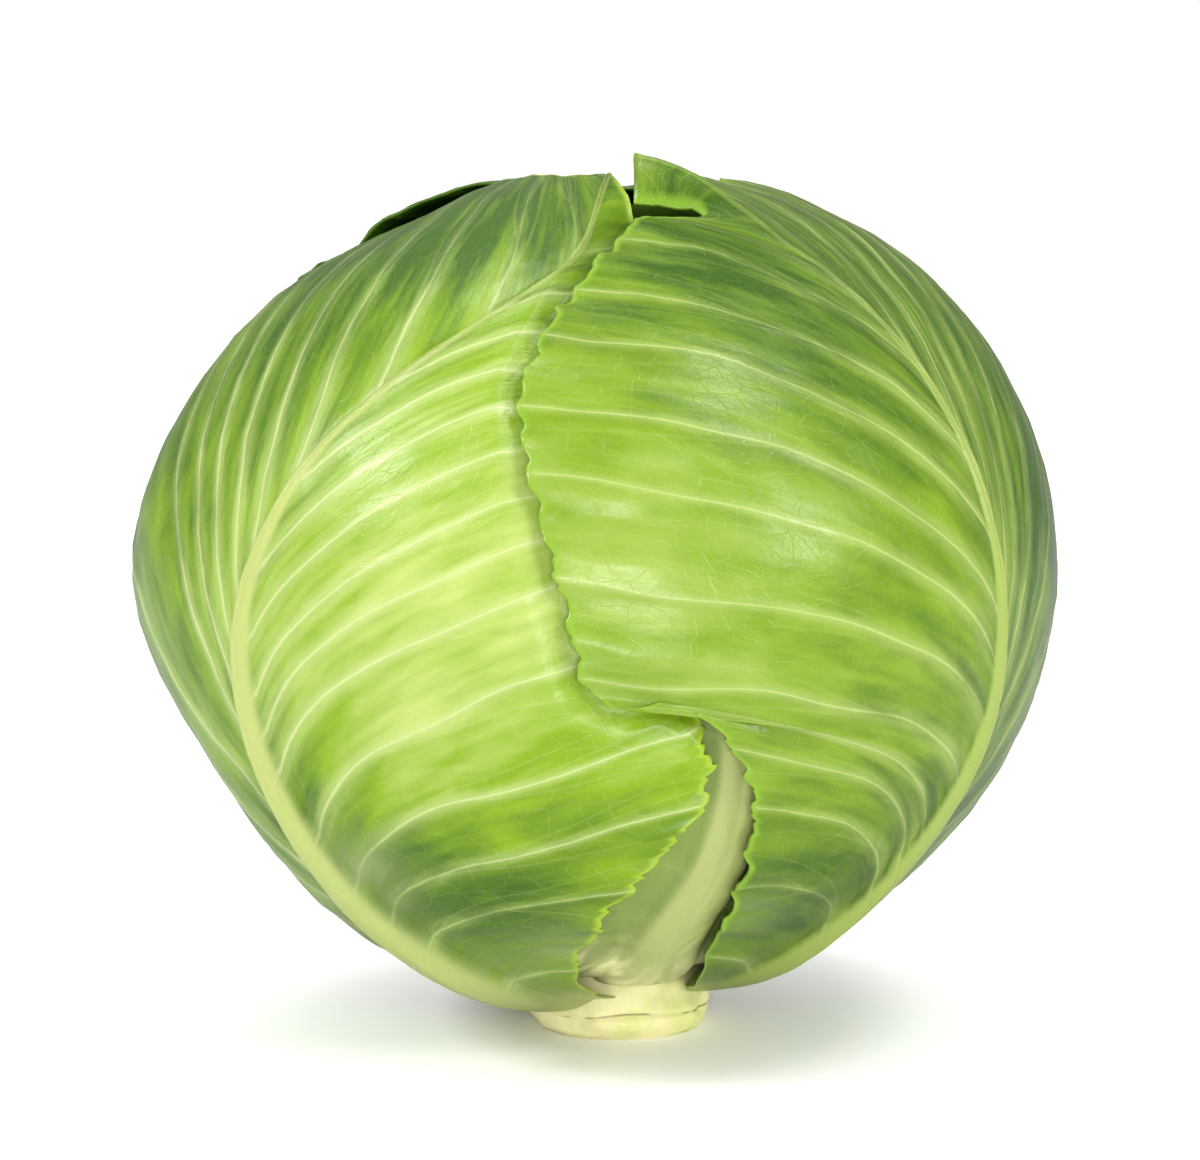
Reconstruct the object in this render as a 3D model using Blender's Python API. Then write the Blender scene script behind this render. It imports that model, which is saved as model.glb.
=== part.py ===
"""Cabbage head: a firm heart on its cut stump, inside four wrapper leaves.

Metres, +Z up. The origin is the middle of the cut face of the stump, and the front is -Y.
Every leaf is drawn as curves on the head, whose form is an uneven ellipsoid. A place on the head is
a longitude (0 at the front, positive to the right) and a latitude, both in degrees, with a height
above the head. A leaf is a grid: p runs along its midrib from the base to the tip, and q runs along
a side vein from the midrib (0) to the margin (1).
"""

import math

import bpy
import numpy as np

MM = 0.001

# The head as a whole: an ellipsoid
HEAD_RADIUS = 100.0 * MM
HEAD_HALF_HEIGHT = 90.5 * MM
HEAD_CENTRE = np.array([-4.5, 0.0, 98.1]) * MM
HEAD_AXES = np.array([HEAD_RADIUS, HEAD_RADIUS, HEAD_HALF_HEIGHT])

# Where the head swells out of it or falls away: longitude, latitude, spread in degrees, height in mm
HEAD_SWELLS = ((92, 53, 23, 3.2), (90, 25, 22, 1.4), (82, -42, 34, -2.8), (-95, 70, 22, -3.4),
               (-88, -30, 22, -7.4), (-88, 2, 18, 2.8), (-60, 35, 20, -1.0))

# The cut stump: radius and height, in mm, of each ring of its turned outline
STUMP_RINGS = ((17.4, 0.0), (18.6, 1.0), (19.6, 2.6), (20.2, 4.4), (20.1, 6.0), (19.3, 8.2), (18.8, 13.0),
               (16.0, 16.0), (9.0, 17.0))
STUMP_SIDES = 30
STUMP_UNEVEN = 0.035

# Leaf bases end on this ring, just clear of the stump
BASE_RING = 20.5 * MM

# The leaf blades, and how much thicker they are behind the foot of the midrib
BLADE = 1.0 * MM
BASE_THICKENING = 2.5 * MM

# A leaf dips to pass under another's margin, from this far outside the margin to this far
OVERLAP_DIP = 4.2 * MM
OVERLAP_FROM = -8.0 * MM
OVERLAP_TO = -1.5 * MM

# The midrib: its height over the blade, and half its width
RIB_NEAR_BASE = (6.0 * MM, 11.5 * MM)
RIB_NEAR_TIP = (0.7 * MM, 1.8 * MM)

# The side veins, the blade that swells between them, and the waved and scalloped margin
SIDE_VEIN = 0.9 * MM
BLADE_SWELL = 0.6 * MM
MARGIN_WAVE = 0.9 * MM
MARGIN_WAVE_LENGTH = 19.0 * MM
SCALLOP = 1.0 * MM

# A side vein sets off along the midrib, aiming this far ahead, drawn this much to its end
VEIN_AHEAD = 0.17
VEIN_PULL = 0.16

# The heart, how far it lies inside the head, and the leaf edges that wind round it
HEART_SHRINK = 8.0 * MM
HEART_HOLLOW = 3.6 * MM
HEART_FLOOR = 18.6 * MM
HEART_CROWN = (40, 84, 14, 2.2)
HEART_LEAVES = 5
HEART_STEP = 1.6 * MM
HEART_TWIST = 75.0

# Where the side veins cross the midrib, as p
LEFT_SIDE_VEINS = (0.05, 0.11, 0.155, 0.20, 0.255, 0.32, 0.355, 0.39, 0.44, 0.50, 0.58, 0.68, 0.79, 0.9)
RIGHT_SIDE_VEINS = (0.05, 0.11, 0.17, 0.215, 0.255, 0.31, 0.365, 0.42, 0.465, 0.53, 0.60, 0.70, 0.81, 0.91)
BACK_SIDE_VEINS = (0.05, 0.11, 0.165, 0.22, 0.27, 0.32, 0.375, 0.44, 0.52, 0.61, 0.71, 0.81, 0.89, 0.95)
FRONT_SIDE_VEINS = (0.08, 0.2, 0.32, 0.44, 0.56, 0.7, 0.85)

# Between two veins a row lies on the vein, beside it, halfway and beside the next
ROW_STEPS = (0.0, 0.13, 0.5, 0.87)
COLUMNS = (0.0, 0.1, 0.2, 0.34, 0.52, 0.7, 0.86, 1.0)

# Each curve is (p, longitude, latitude). Its first point, at p = 0, lies on the base ring, and is
# given by its longitude alone. "layer" is the leaf's height near its base and above. "lift" is how
# far its tip stands up, the p where that starts, and its share at the left and the right margin. "rib"
# is the midrib's share of the full height, and how narrow its crest is: below 1 for a broad flat stalk.
# "veins" is where the side veins cross the midrib, and "under" the margins that lie over the leaf.
LEFT_LEAF = {
    "midrib": (-45, (0.10, -33, -57), (0.22, -42, -39), (0.36, -47, -16), (0.48, -47.5, 3), (0.60, -42, 22),
               (0.71, -31, 37), (0.82, -16, 50), (0.91, -5, 60), (1.0, 5, 76)),
    "right": (-6, (0.045, -8, -56), (0.08, -1, -44), (0.12, 6, -32), (0.16, 13.5, -19), (0.205, 12, -8),
              (0.26, 9, 4), (0.32, 6, 13), (0.40, 3, 27), (0.49, 1, 37), (0.61, 4, 45), (0.76, 9, 54),
              (0.88, 14, 65), (1.0, 8, 75)),
    "left": (-96, (0.07, -112, -56), (0.135, -132, -28), (0.20, -145, 6), (0.26, -143, 32),
             (0.32, -138, 50), (0.40, -130, 63), (0.51, -112, 73), (0.72, -60, 80), (1.0, -6, 79)),
    "layer": (0.0, 0.0),
    "lift": (5.0 * MM, 0.9, 0.7, 0.9),
    "rib": (1.15, 1.0),
    "veins": LEFT_SIDE_VEINS,
}
RIGHT_LEAF = {
    "midrib": (68, (0.10, 51, -60), (0.22, 53.5, -41), (0.36, 58, -16), (0.48, 58, 2), (0.60, 57, 21),
               (0.71, 55.5, 36), (0.80, 53, 47), (0.88, 49.5, 57), (0.94, 42, 67), (1.0, 18.5, 77.6)),
    "left": (47, (0.05, 22, -52), (0.11, 21, -36), (0.17, 20, -21), (0.21, 17, -13.5), (0.24, 12.5, -7.8),
             (0.265, 6.5, -5.2), (0.295, 0.5, -3.8), (0.335, -3.5, 5.5), (0.38, -6, 14), (0.43, -9.5, 26),
             (0.48, -11.5, 36), (0.55, -8, 47), (0.63, -2, 56), (0.70, 5.5, 63.5), (0.76, 13, 68.5),
             (0.83, 20, 68.6), (0.89, 28, 67.6), (0.925, 33.5, 66.8), (0.945, 33, 68.3), (0.965, 26, 69.6),
             (1.0, 13, 71.2)),
    "right": (122, (0.07, 112, -56), (0.135, 128, -28), (0.20, 138, 6), (0.26, 138, 32), (0.32, 134, 50),
              (0.40, 126, 62), (0.51, 116, 71), (0.72, 90, 78), (1.0, 36, 80)),
    "layer": (0.0, 0.0),
    "lift": (9.0 * MM, 0.87, 0.25, 0.5),
    "rib": (0.75, 1.5),
    "veins": RIGHT_SIDE_VEINS,
}
FRONT_LEAF = {
    "midrib": (13, (0.20, 13, -51), (0.40, 17, -31), (0.58, 17, -13), (0.75, 12, 7), (1.0, 4, 30)),
    "left": (-14, (0.2, -12, -44), (0.4, -22, -18), (0.6, -22, 4), (0.8, -12, 22), (1.0, 0, 31)),
    "right": (50, (0.2, 38, -44), (0.4, 46, -18), (0.6, 42, 6), (0.8, 25, 24), (1.0, 8, 31)),
    "layer": (-4.8 * MM, -7.2 * MM),
    "lift": (0.0, 0.9, 1.0, 1.0),
    "rib": (0.8, 0.75),
    "veins": FRONT_SIDE_VEINS,
}
BACK_LEAF = {
    "midrib": (180, (0.15, 180, -57), (0.32, 180, -30), (0.50, 180, 0), (0.68, 180, 30), (0.85, 180, 60),
               (1.0, 180, 81)),
    "left": (132, (0.1, 128, -52), (0.2, 122, -22), (0.33, 118, 10), (0.48, 114, 34), (0.62, 112, 52),
             (0.78, 120, 67), (1.0, 160, 81)),
    "right": (-132, (0.1, -128, -52), (0.2, -122, -22), (0.33, -117, 10), (0.48, -112, 34), (0.62, -106, 53),
              (0.76, -112, 66), (0.88, -128, 75), (1.0, -160, 81)),
    "layer": (0.0, 0.0),
    "lift": (0.0, 0.9, 1.0, 1.0),
    "rib": (1.0, 1.5),
    "veins": BACK_SIDE_VEINS,
    "flare": (3.6 * MM, "right"),
}

# The margins that lie over a leaf, each up to a p
LEFT_LEAF["under"] = ((RIGHT_LEAF, "left", 0.76), (BACK_LEAF, "right", 1.0))
RIGHT_LEAF["under"] = ((BACK_LEAF, "left", 1.0),)


def unit(vectors):
    return vectors / np.linalg.norm(vectors, axis=-1, keepdims=True)


def smooth(low, high, x):
    """0 below low, 1 above high, and a smooth step between."""
    t = np.clip((x - low) / (high - low), 0.0, 1.0)
    return t * t * (3 - 2 * t)


def direction(longitude, latitude):
    """The unit vector from the head's centre to a longitude and latitude in degrees."""
    lon, lat = np.radians(longitude), np.radians(latitude)
    return np.stack([np.sin(lon) * np.cos(lat), -np.cos(lon) * np.cos(lat), np.sin(lat)], axis=-1)


def ring_direction(longitude, radius=BASE_RING):
    """The unit vector to the underside of the head, this far from the stump's axis."""
    lon = math.radians(longitude)
    x = (radius * math.sin(lon) - HEAD_CENTRE[0]) / HEAD_RADIUS
    y = -radius * math.cos(lon) / HEAD_RADIUS
    return np.array([x, y, -math.sqrt(1 - x * x - y * y)])


def swelling(directions, longitude, latitude, spread, height):
    """A smooth hill round one direction. The spread is in degrees, and the height in mm."""
    off = np.degrees(np.arccos(np.clip(directions @ direction(longitude, latitude), -1, 1)))
    return height * MM * np.exp(-((off / spread) ** 2))


def on_head(directions, height):
    """Points at a height above the head."""
    height = height + sum(swelling(directions, *swell) for swell in HEAD_SWELLS)
    return HEAD_CENTRE + directions * (HEAD_AXES + height[..., None])


def curve(points, p):
    """A smooth curve on the head through a leaf curve's points, read at each value of p."""
    base, *rest = points
    knots = np.array([0.0] + [point[0] for point in rest])
    values = np.vstack([ring_direction(base)] + [direction(lon, lat) for _, lon, lat in rest])
    slopes = np.gradient(values, axis=0) / np.gradient(knots)[:, None]
    i = np.clip(np.searchsorted(knots, p, side="right") - 1, 0, len(knots) - 2)
    span = (knots[i + 1] - knots[i])[..., None]
    t = (np.asarray(p) - knots[i])[..., None] / span
    start = (2 * t**3 - 3 * t**2 + 1) * values[i] + (t**3 - 2 * t**2 + t) * span * slopes[i]
    end = (3 * t**2 - 2 * t**3) * values[i + 1] + (t**3 - t**2) * span * slopes[i + 1]
    return unit(start + end)


def leaf_half(leaf, side, p, q):
    """Directions of one half's grid points. A row sets off along the midrib and bends to the margin."""
    midrib = curve(leaf["midrib"], p)
    margin = curve(leaf[side], p)
    ahead = curve(leaf["midrib"], p + VEIN_AHEAD * (1 - p))
    bend = unit((1 - VEIN_PULL) * ahead + VEIN_PULL * margin)
    # The first rows go round the stump instead
    ends = leaf["midrib"][0], leaf[side][0]
    turned = math.radians(abs(ends[1] - ends[0]) / 2)
    tangents_meet = ring_direction(sum(ends) / 2, BASE_RING / math.cos(turned))
    halfway = (midrib + margin) / 2
    on_ring = 1 - smooth(0.0, 0.14, p)[:, None]
    bend = unit(on_ring * (tangents_meet + halfway - halfway[0]) + (1 - on_ring) * bend)
    q = q[..., None]
    return unit((1 - q) ** 2 * midrib[:, None] + 2 * q * (1 - q) * bend[:, None] + q**2 * margin[:, None])


def leaf_rows(veins):
    """The rows' p, and how far each lies between the vein below it and the one above."""
    stops = (0.0, *veins, 1.0)
    rows = [(a + step * (b - a), step) for a, b in zip(stops, stops[1:]) for step in ROW_STEPS]
    return np.array(rows + [(1.0, 0.0)]).T


def beside(points, directions, end=1.0):
    """Where along a curve each direction is nearest to it, how far off, and whether to its right."""
    along = np.linspace(0.0, end, 160)
    line = curve(points, along)
    rightward = np.cross(np.gradient(line, axis=0), line)
    nearest = np.linalg.norm(directions[..., None, :] - line, axis=-1).argmin(axis=-1)
    offset = directions - line[nearest]
    to_right = np.sign((offset * rightward[nearest]).sum(axis=-1))
    return along[nearest], np.linalg.norm(offset, axis=-1) * HEAD_RADIUS, to_right


def rib_height(leaf, directions):
    """The midrib's height over the blade. It falls off with the distance from its centre line."""
    along, distance, _ = beside(leaf["midrib"], directions)
    fade = (1 - along) ** 1.6
    height = RIB_NEAR_TIP[0] + (RIB_NEAR_BASE[0] - RIB_NEAR_TIP[0]) * fade
    width = RIB_NEAR_TIP[1] + (RIB_NEAR_BASE[1] - RIB_NEAR_TIP[1]) * fade
    clear_of_stump = 0.5 + 0.5 * smooth(0.0, 0.14, along)
    share, crest = leaf["rib"]
    return share * clear_of_stump * height * np.clip(1 - (distance / width) ** 2, 0.0, 1.0) ** crest


def inside(leaf, side, directions, end=1.0):
    """How far a direction lies inside one margin of a leaf, negative outside it."""
    _, distance, to_right = beside(leaf[side], directions, end)
    return distance * to_right * (1 if side == "left" else -1)


def under_others(leaf, directions):
    """How much of its dip a leaf has, from 0 in the open to 1 under the margin of the leaf over it."""
    covered = np.zeros(directions.shape[:-1])
    for other, side, end in leaf.get("under", ()):
        covered = np.maximum(covered, smooth(OVERLAP_FROM, OVERLAP_TO, inside(other, side, directions, end)))
    return covered


def leaf_surfaces(leaf):
    """The outer and the inner face of a leaf, each as a grid of points from the left margin to the right."""
    p, step = leaf_rows(leaf["veins"])
    crest = np.clip(1 - np.minimum(step, 1 - step) / ROW_STEPS[1], 0.0, 1.0)[:, None]
    swell = np.sin(math.pi * step)[:, None]
    outers, inners = [], []
    for side in ("left", "right"):
        q = np.tile(np.array(COLUMNS), (len(p), 1))
        row_length = np.linalg.norm(curve(leaf[side], p) - curve(leaf["midrib"], p), axis=-1) * HEAD_RADIUS
        q[:, -1] += SCALLOP * np.cos(4 * math.pi * step) / row_length
        ways = leaf_half(leaf, side, p, q)
        margin = on_head(ways[:, -1], np.zeros(len(p)))
        run = np.concatenate([[0.0], np.linalg.norm(np.diff(margin, axis=0), axis=1).cumsum()])
        wave = np.sin(2 * math.pi * run / MARGIN_WAVE_LENGTH)[:, None] * smooth(0.7, 1.0, q)
        body = smooth(0.02, 0.1, p)[:, None]
        covered = under_others(leaf, ways) * (1 - smooth(0.95, 1.0, p)[:, None])
        near_base, above = leaf["layer"]
        level = near_base + (above - near_base) * smooth(0.15, 0.5, p)[:, None]
        level = level + MARGIN_WAVE * wave * body * (1 - covered) - OVERLAP_DIP * covered
        lift, starts, *shares = leaf["lift"]
        at_margin = shares[side == "right"]
        share = (1 - (1 - at_margin) * q**2) * (1 - covered)
        level = level + lift * smooth(starts, 1.0, p)[:, None] * share
        if leaf.get("flare", (0, ""))[1] == side:
            near_top = smooth(0.62, 0.75, p) * (1 - smooth(0.85, 0.98, p))
            level = level + leaf["flare"][0] * smooth(0.55, 1.0, q) * near_top[:, None]
        fade = smooth(0.0, 0.15, q) * (1 - 0.6 * q) * body * (1 - 0.5 * covered)
        relief = (SIDE_VEIN * crest + BLADE_SWELL * swell) * fade
        rib = rib_height(leaf, ways)
        foot = (1 - smooth(0.0, 0.12, p)[:, None]) * smooth(0.5 * MM, 3.0 * MM, rib)
        thick = BLADE + BASE_THICKENING * foot
        outers.append(on_head(ways, level + relief + rib))
        inners.append(on_head(ways, level - thick))
    return [np.concatenate([left[:, :0:-1], right], axis=1) for left, right in (outers, inners)]


def add_object(name, points, faces, colour, roughness, smooth_angle=50.0):
    """A mesh object with its own plain material, smooth but for edges sharper than the angle."""
    mesh = bpy.data.meshes.new(name)
    mesh.from_pydata([tuple(map(float, point)) for point in points], [], faces)
    mesh.validate()
    mesh.shade_smooth()
    mesh.set_sharp_from_angle(angle=math.radians(smooth_angle))
    material = bpy.data.materials.new(name)
    material.use_nodes = True
    shader = material.node_tree.nodes["Principled BSDF"]
    shader.inputs["Base Color"].default_value = (*colour, 1.0)
    shader.inputs["Roughness"].default_value = roughness
    mesh.materials.append(material)
    obj = bpy.data.objects.new(name, mesh)
    bpy.context.scene.collection.objects.link(obj)
    return obj


def make_leaf(name, leaf, colour):
    """A closed leaf: both faces are the same grid, split alike, and a rim joins them."""
    outer, inner = leaf_surfaces(leaf)
    rows, columns = outer.shape[:2]
    total = rows * columns
    faces = []
    for i in range(rows - 1):
        for j in range(columns - 1):
            a, b = i * columns + j, i * columns + j + 1
            c, d = a + columns, b + columns
            for triangle in ((a, b, d), (a, d, c)):
                faces.append(triangle)
                faces.append(tuple(total + corner for corner in reversed(triangle)))
    edge = list(range(columns))
    edge += [i * columns + columns - 1 for i in range(1, rows)]
    edge += [(rows - 1) * columns + j for j in range(columns - 2, -1, -1)]
    edge += [i * columns for i in range(rows - 2, 0, -1)]
    for a, b in zip(edge, edge[1:] + edge[:1]):
        faces.append((a, total + a, total + b))
        faces.append((a, total + b, b))
    points = np.concatenate([outer.reshape(-1, 3), inner.reshape(-1, 3)])
    return add_object(name, points, faces, colour, 0.35)


def revolve_faces(rings, sides):
    """The faces of a stack of rings of points, with a fan at each end round one extra point."""
    faces = []
    for i in range(rings - 1):
        for j in range(sides):
            a, b = i * sides + j, i * sides + (j + 1) % sides
            faces.append((a, b, b + sides))
            faces.append((a, b + sides, a + sides))
    low, high = rings * sides, rings * sides + 1
    last = (rings - 1) * sides
    for j in range(sides):
        faces.append((low, (j + 1) % sides, j))
        faces.append((high, last + j, last + (j + 1) % sides))
    return faces


def make_stump():
    """The cut stem: turned, a little uneven, with a flat cut face to stand on."""
    points = []
    for radius, height in STUMP_RINGS:
        for j in range(STUMP_SIDES):
            turn = 2 * math.pi * j / STUMP_SIDES
            uneven = math.sin(3 * turn + 0.6) + 0.6 * math.sin(5 * turn + 2.0)
            side = smooth(0.5, 3.0, height) * (1 - smooth(4.0, 6.5, height))
            reach = radius * MM * (1 + STUMP_UNEVEN * uneven * side)
            points.append((reach * math.sin(turn), -reach * math.cos(turn), height * MM))
    points.append((0.0, 0.0, 0.0))
    points.append((0.0, 0.0, STUMP_RINGS[-1][1] * MM))
    faces = revolve_faces(len(STUMP_RINGS), STUMP_SIDES)
    return add_object("stump", points, faces, (0.78, 0.74, 0.5), 0.6, 30.0)


def make_heart():
    """The firm heart. Leaf edges wind round it to the top, each a step that its grid follows."""
    steps = (0.02, 0.12, 0.3, 0.5, 0.7, 0.86, 0.98)
    turns = np.array([(leaf + step) * 360 / HEART_LEAVES for leaf in range(HEART_LEAVES) for step in steps])
    rise = np.tile(np.array(steps), HEART_LEAVES)
    latitudes = np.concatenate([np.linspace(-76, 70, 17), [78, 84]])
    points = []
    for latitude in latitudes:
        ways = direction(turns + HEART_TWIST * smooth(10, 90, latitude), np.full(len(turns), latitude))
        edges = smooth(-60, -20, latitude) * (1 - smooth(70, 88, latitude))
        under_front = np.minimum(inside(FRONT_LEAF, "left", ways), inside(FRONT_LEAF, "right", ways))
        height = HEART_STEP * (rise - 0.5) * edges - HEART_SHRINK
        height = height - HEART_HOLLOW * smooth(-14 * MM, -1 * MM, under_front)
        ring = on_head(ways, height + swelling(ways, *HEART_CROWN))
        ring[:, 2] = np.maximum(ring[:, 2], HEART_FLOOR + 0.2 * MM * smooth(-76, -66, latitude))
        points.extend(ring)
    pole = np.array([0.0, 0.0, 1.0])
    points.append((HEAD_CENTRE[0], 0.0, HEART_FLOOR))
    points.append(on_head(pole, swelling(pole, *HEART_CROWN) - HEART_SHRINK))
    faces = revolve_faces(len(latitudes), len(turns))
    return add_object("heart", points, faces, (0.55, 0.68, 0.25), 0.4)


def main():
    for obj in list(bpy.data.objects):
        bpy.data.objects.remove(obj)
    make_stump()
    make_heart()
    make_leaf("front_leaf", FRONT_LEAF, (0.62, 0.72, 0.38))
    make_leaf("left_leaf", LEFT_LEAF, (0.42, 0.62, 0.08))
    make_leaf("right_leaf", RIGHT_LEAF, (0.30, 0.50, 0.07))
    make_leaf("back_leaf", BACK_LEAF, (0.14, 0.32, 0.04))


main()
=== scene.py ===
# %% [markdown]
# # A cabbage head, leaf by leaf
# A white cabbage is a firm heart on a cut stump, wrapped in a few large leaves. Four wrapper leaves show
# here: a bright one on the left, a darker one on the right that laps over it, the pale foot of an inner
# leaf between the two, and one round the back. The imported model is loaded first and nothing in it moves.
# Each leaf of it is then replaced by a fine sheet that is drawn in the same way, on nearly the same curves.

# %% Load the fixed frame
import math

import bpy
import numpy as np
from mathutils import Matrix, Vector, noise


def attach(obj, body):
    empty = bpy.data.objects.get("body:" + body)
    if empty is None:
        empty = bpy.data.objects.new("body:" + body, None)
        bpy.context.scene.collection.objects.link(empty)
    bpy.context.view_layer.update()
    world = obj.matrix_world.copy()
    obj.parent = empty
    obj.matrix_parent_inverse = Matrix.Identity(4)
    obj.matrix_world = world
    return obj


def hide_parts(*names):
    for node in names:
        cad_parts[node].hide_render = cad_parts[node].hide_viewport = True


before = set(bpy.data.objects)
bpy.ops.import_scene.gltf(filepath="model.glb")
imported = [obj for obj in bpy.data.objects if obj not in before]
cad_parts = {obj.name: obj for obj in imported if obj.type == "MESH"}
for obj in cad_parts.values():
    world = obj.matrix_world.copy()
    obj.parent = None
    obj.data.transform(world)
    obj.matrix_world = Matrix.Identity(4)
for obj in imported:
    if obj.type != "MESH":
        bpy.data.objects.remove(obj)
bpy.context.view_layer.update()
bpy.ops.object.select_all(action="DESELECT")
MM = 0.001
print("nodes:", ", ".join(sorted(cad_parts)))

# %% [markdown]
# ## The camera
# The photograph looks at the head from a little above the table, through a long lens, so the outline is
# nearly that of a distant view. A long lens is easy to work out: at the distance of the head's centre, a
# metre has to cover a known number of pixels, and a small shift puts that centre on its pixel.

# %% Camera
PHOTO_WIDTH, PHOTO_HEIGHT = 1200, 1160
HEAD_CENTRE = np.array([-4.5, 0.0, 98.1]) * MM
HEAD_CENTRE_PIXEL = (599.0, 585.0)
PIXELS_PER_METRE = 4560.0
CAMERA_ELEVATION = math.radians(9.0)
CAMERA_DISTANCE = 1.4

camera_data = bpy.data.cameras.new("camera")
camera_data.sensor_width = 36.0
camera_data.lens = camera_data.sensor_width * PIXELS_PER_METRE * CAMERA_DISTANCE / PHOTO_WIDTH
camera_data.shift_x = (PHOTO_WIDTH / 2 - HEAD_CENTRE_PIXEL[0]) / PHOTO_WIDTH
camera_data.shift_y = (HEAD_CENTRE_PIXEL[1] - PHOTO_HEIGHT / 2) / PHOTO_WIDTH
camera = bpy.data.objects.new("camera", camera_data)
back = Vector((0.0, -math.cos(CAMERA_ELEVATION), math.sin(CAMERA_ELEVATION)))
camera.location = Vector(HEAD_CENTRE) + CAMERA_DISTANCE * back
camera.rotation_euler = (math.pi / 2 - CAMERA_ELEVATION, 0.0, 0.0)
bpy.context.scene.collection.objects.link(camera)
bpy.context.scene.camera = camera
print("lens in mm:", round(camera_data.lens, 1))

# %% [markdown]
# ## Light and floor
# The head stands on a white sweep in a studio. Waxy leaves mirror all that white at their rims, which
# veils their strong greens, and a photographer shields them with dark cards. Here the Light Path node does
# it: the room and the floor look dimmer to a glossy ray than to any other. Five soft boxes still give the
# leaves their highlights. The "Standard" view keeps the colours as they are in the paint.

# %% Light and floor
FLOOR_LEVEL_LIGHT = 0.62
CEILING_LIGHT = 1.15
LIGHT_ON_HEAD = 1.78
ROOM_IN_GLOSS = 0.4
FLOOR_WHITE = 0.97
FLOOR_IN_GLOSS = 0.45
FLOOR_RADIUS = 8.0
SOFT_BOXES = {  # name: (place, size, watts)
    "left_box": ((-1.25, -0.4, 1.05), 0.45, 15.0),
    "top_box": ((0.65, -0.4, 1.45), 0.4, 7.0),
    "right_box": ((1.2, -0.9, 0.75), 0.45, 9.0),
    "back_box": ((-0.35, 0.35, 1.5), 0.4, 4.0),
    "low_box": ((0.12, -1.15, 0.16), 0.4, 6.0),
}


def rgb(red, green, blue, light=LIGHT_ON_HEAD):
    """A colour as it should look in this light, 0 to 255, made the darker linear one of the thing itself. A
    smaller light paints it brighter: the stump and the front leaf's bloom use that as painted light.
    """
    shares = np.array([red, green, blue]) / 255.0
    linear = np.where(shares <= 0.04045, shares / 12.92, ((shares + 0.055) / 1.055) ** 2.4)
    return (*map(float, linear / light), 1.0)


def by_ray(tree, value, value_in_gloss):
    """A socket with one value for most rays and another for glossy ones."""
    rays = tree.nodes.new("ShaderNodeLightPath")
    shield = tree.nodes.new("ShaderNodeMapRange")
    shield.inputs["To Min"].default_value = value
    shield.inputs["To Max"].default_value = value_in_gloss
    tree.links.new(rays.outputs["Is Glossy Ray"], shield.inputs["Value"])
    return shield.outputs["Result"]


world = bpy.data.worlds.new("studio")
world.use_nodes = True
bpy.context.scene.world = world
room = world.node_tree
sky = room.nodes.new("ShaderNodeTexCoord")
upward = room.nodes.new("ShaderNodeSeparateXYZ")
room.links.new(sky.outputs["Generated"], upward.inputs[0])
level = room.nodes.new("ShaderNodeMapRange")
level.interpolation_type = "SMOOTHSTEP"
level.inputs["From Min"].default_value = -0.1
level.inputs["From Max"].default_value = 0.9
level.inputs["To Min"].default_value = FLOOR_LEVEL_LIGHT
level.inputs["To Max"].default_value = CEILING_LIGHT
room.links.new(upward.outputs["Z"], level.inputs["Value"])
strength = room.nodes.new("ShaderNodeMath")
strength.operation = "MULTIPLY"
room.links.new(level.outputs["Result"], strength.inputs[0])
room.links.new(by_ray(room, 1.0, ROOM_IN_GLOSS), strength.inputs[1])
room.links.new(strength.outputs[0], room.nodes["Background"].inputs["Strength"])
room.nodes["Background"].inputs["Color"].default_value = (1.0, 1.0, 1.0, 1.0)
bpy.context.scene.view_settings.view_transform = "Standard"

for name, (place, size, watts) in SOFT_BOXES.items():
    lamp = bpy.data.lights.new(name, "AREA")
    lamp.size = size
    lamp.energy = watts
    box = bpy.data.objects.new(name, lamp)
    box.location = place
    box.rotation_euler = (Vector(HEAD_CENTRE) - Vector(place)).to_track_quat("-Z", "Y").to_euler()
    bpy.context.scene.collection.objects.link(box)

bpy.ops.mesh.primitive_circle_add(vertices=96, radius=FLOOR_RADIUS, fill_type="NGON")
floor = bpy.context.object
floor.name = "floor"
floor_paint = bpy.data.materials.new("white_floor")
floor_paint.use_nodes = True
floor_shader = floor_paint.node_tree.nodes["Principled BSDF"]
floor_white = by_ray(floor_paint.node_tree, FLOOR_WHITE, FLOOR_IN_GLOSS)
floor_paint.node_tree.links.new(floor_white, floor_shader.inputs["Base Color"])
floor_shader.inputs["Roughness"].default_value = 0.9
floor_shader.inputs["Specular IOR Level"].default_value = 0.1
floor.data.materials.append(floor_paint)

# %% [markdown]
# ## The form of the head
# Every leaf lies on one head, so the head comes first: an ellipsoid with a few broad swells. A place on it
# is a direction from its centre, written as a longitude (0 in front, positive to the right) and a
# latitude. The head's values are those of the construction, so a fine leaf lies on its plain one. It is
# off it by a few millimetres only where a margin or a rib was drawn again from the photograph.

# %% The head and the curves on it
HEAD_RADIUS = 100.0 * MM
HEAD_HALF_HEIGHT = 90.5 * MM
HEAD_AXES = np.array([HEAD_RADIUS, HEAD_RADIUS, HEAD_HALF_HEIGHT])
BASE_RING = 20.5 * MM
CURVE_SAMPLES = 500
BATCHES = 12

# Longitude, latitude, spread in degrees and height in mm of each swell
HEAD_SWELLS = ((92, 53, 23, 3.2), (90, 25, 22, 1.4), (82, -42, 34, -2.8), (-95, 70, 22, -3.4),
               (-88, -30, 22, -7.4), (-88, 2, 18, 2.8), (-60, 35, 20, -1.0))


def unit(vectors):
    return vectors / np.linalg.norm(vectors, axis=-1, keepdims=True)


def smooth(low, high, x):
    """0 below low, 1 above high, and a smooth step between."""
    t = np.clip((x - low) / (high - low), 0.0, 1.0)
    return t * t * (3 - 2 * t)


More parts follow.
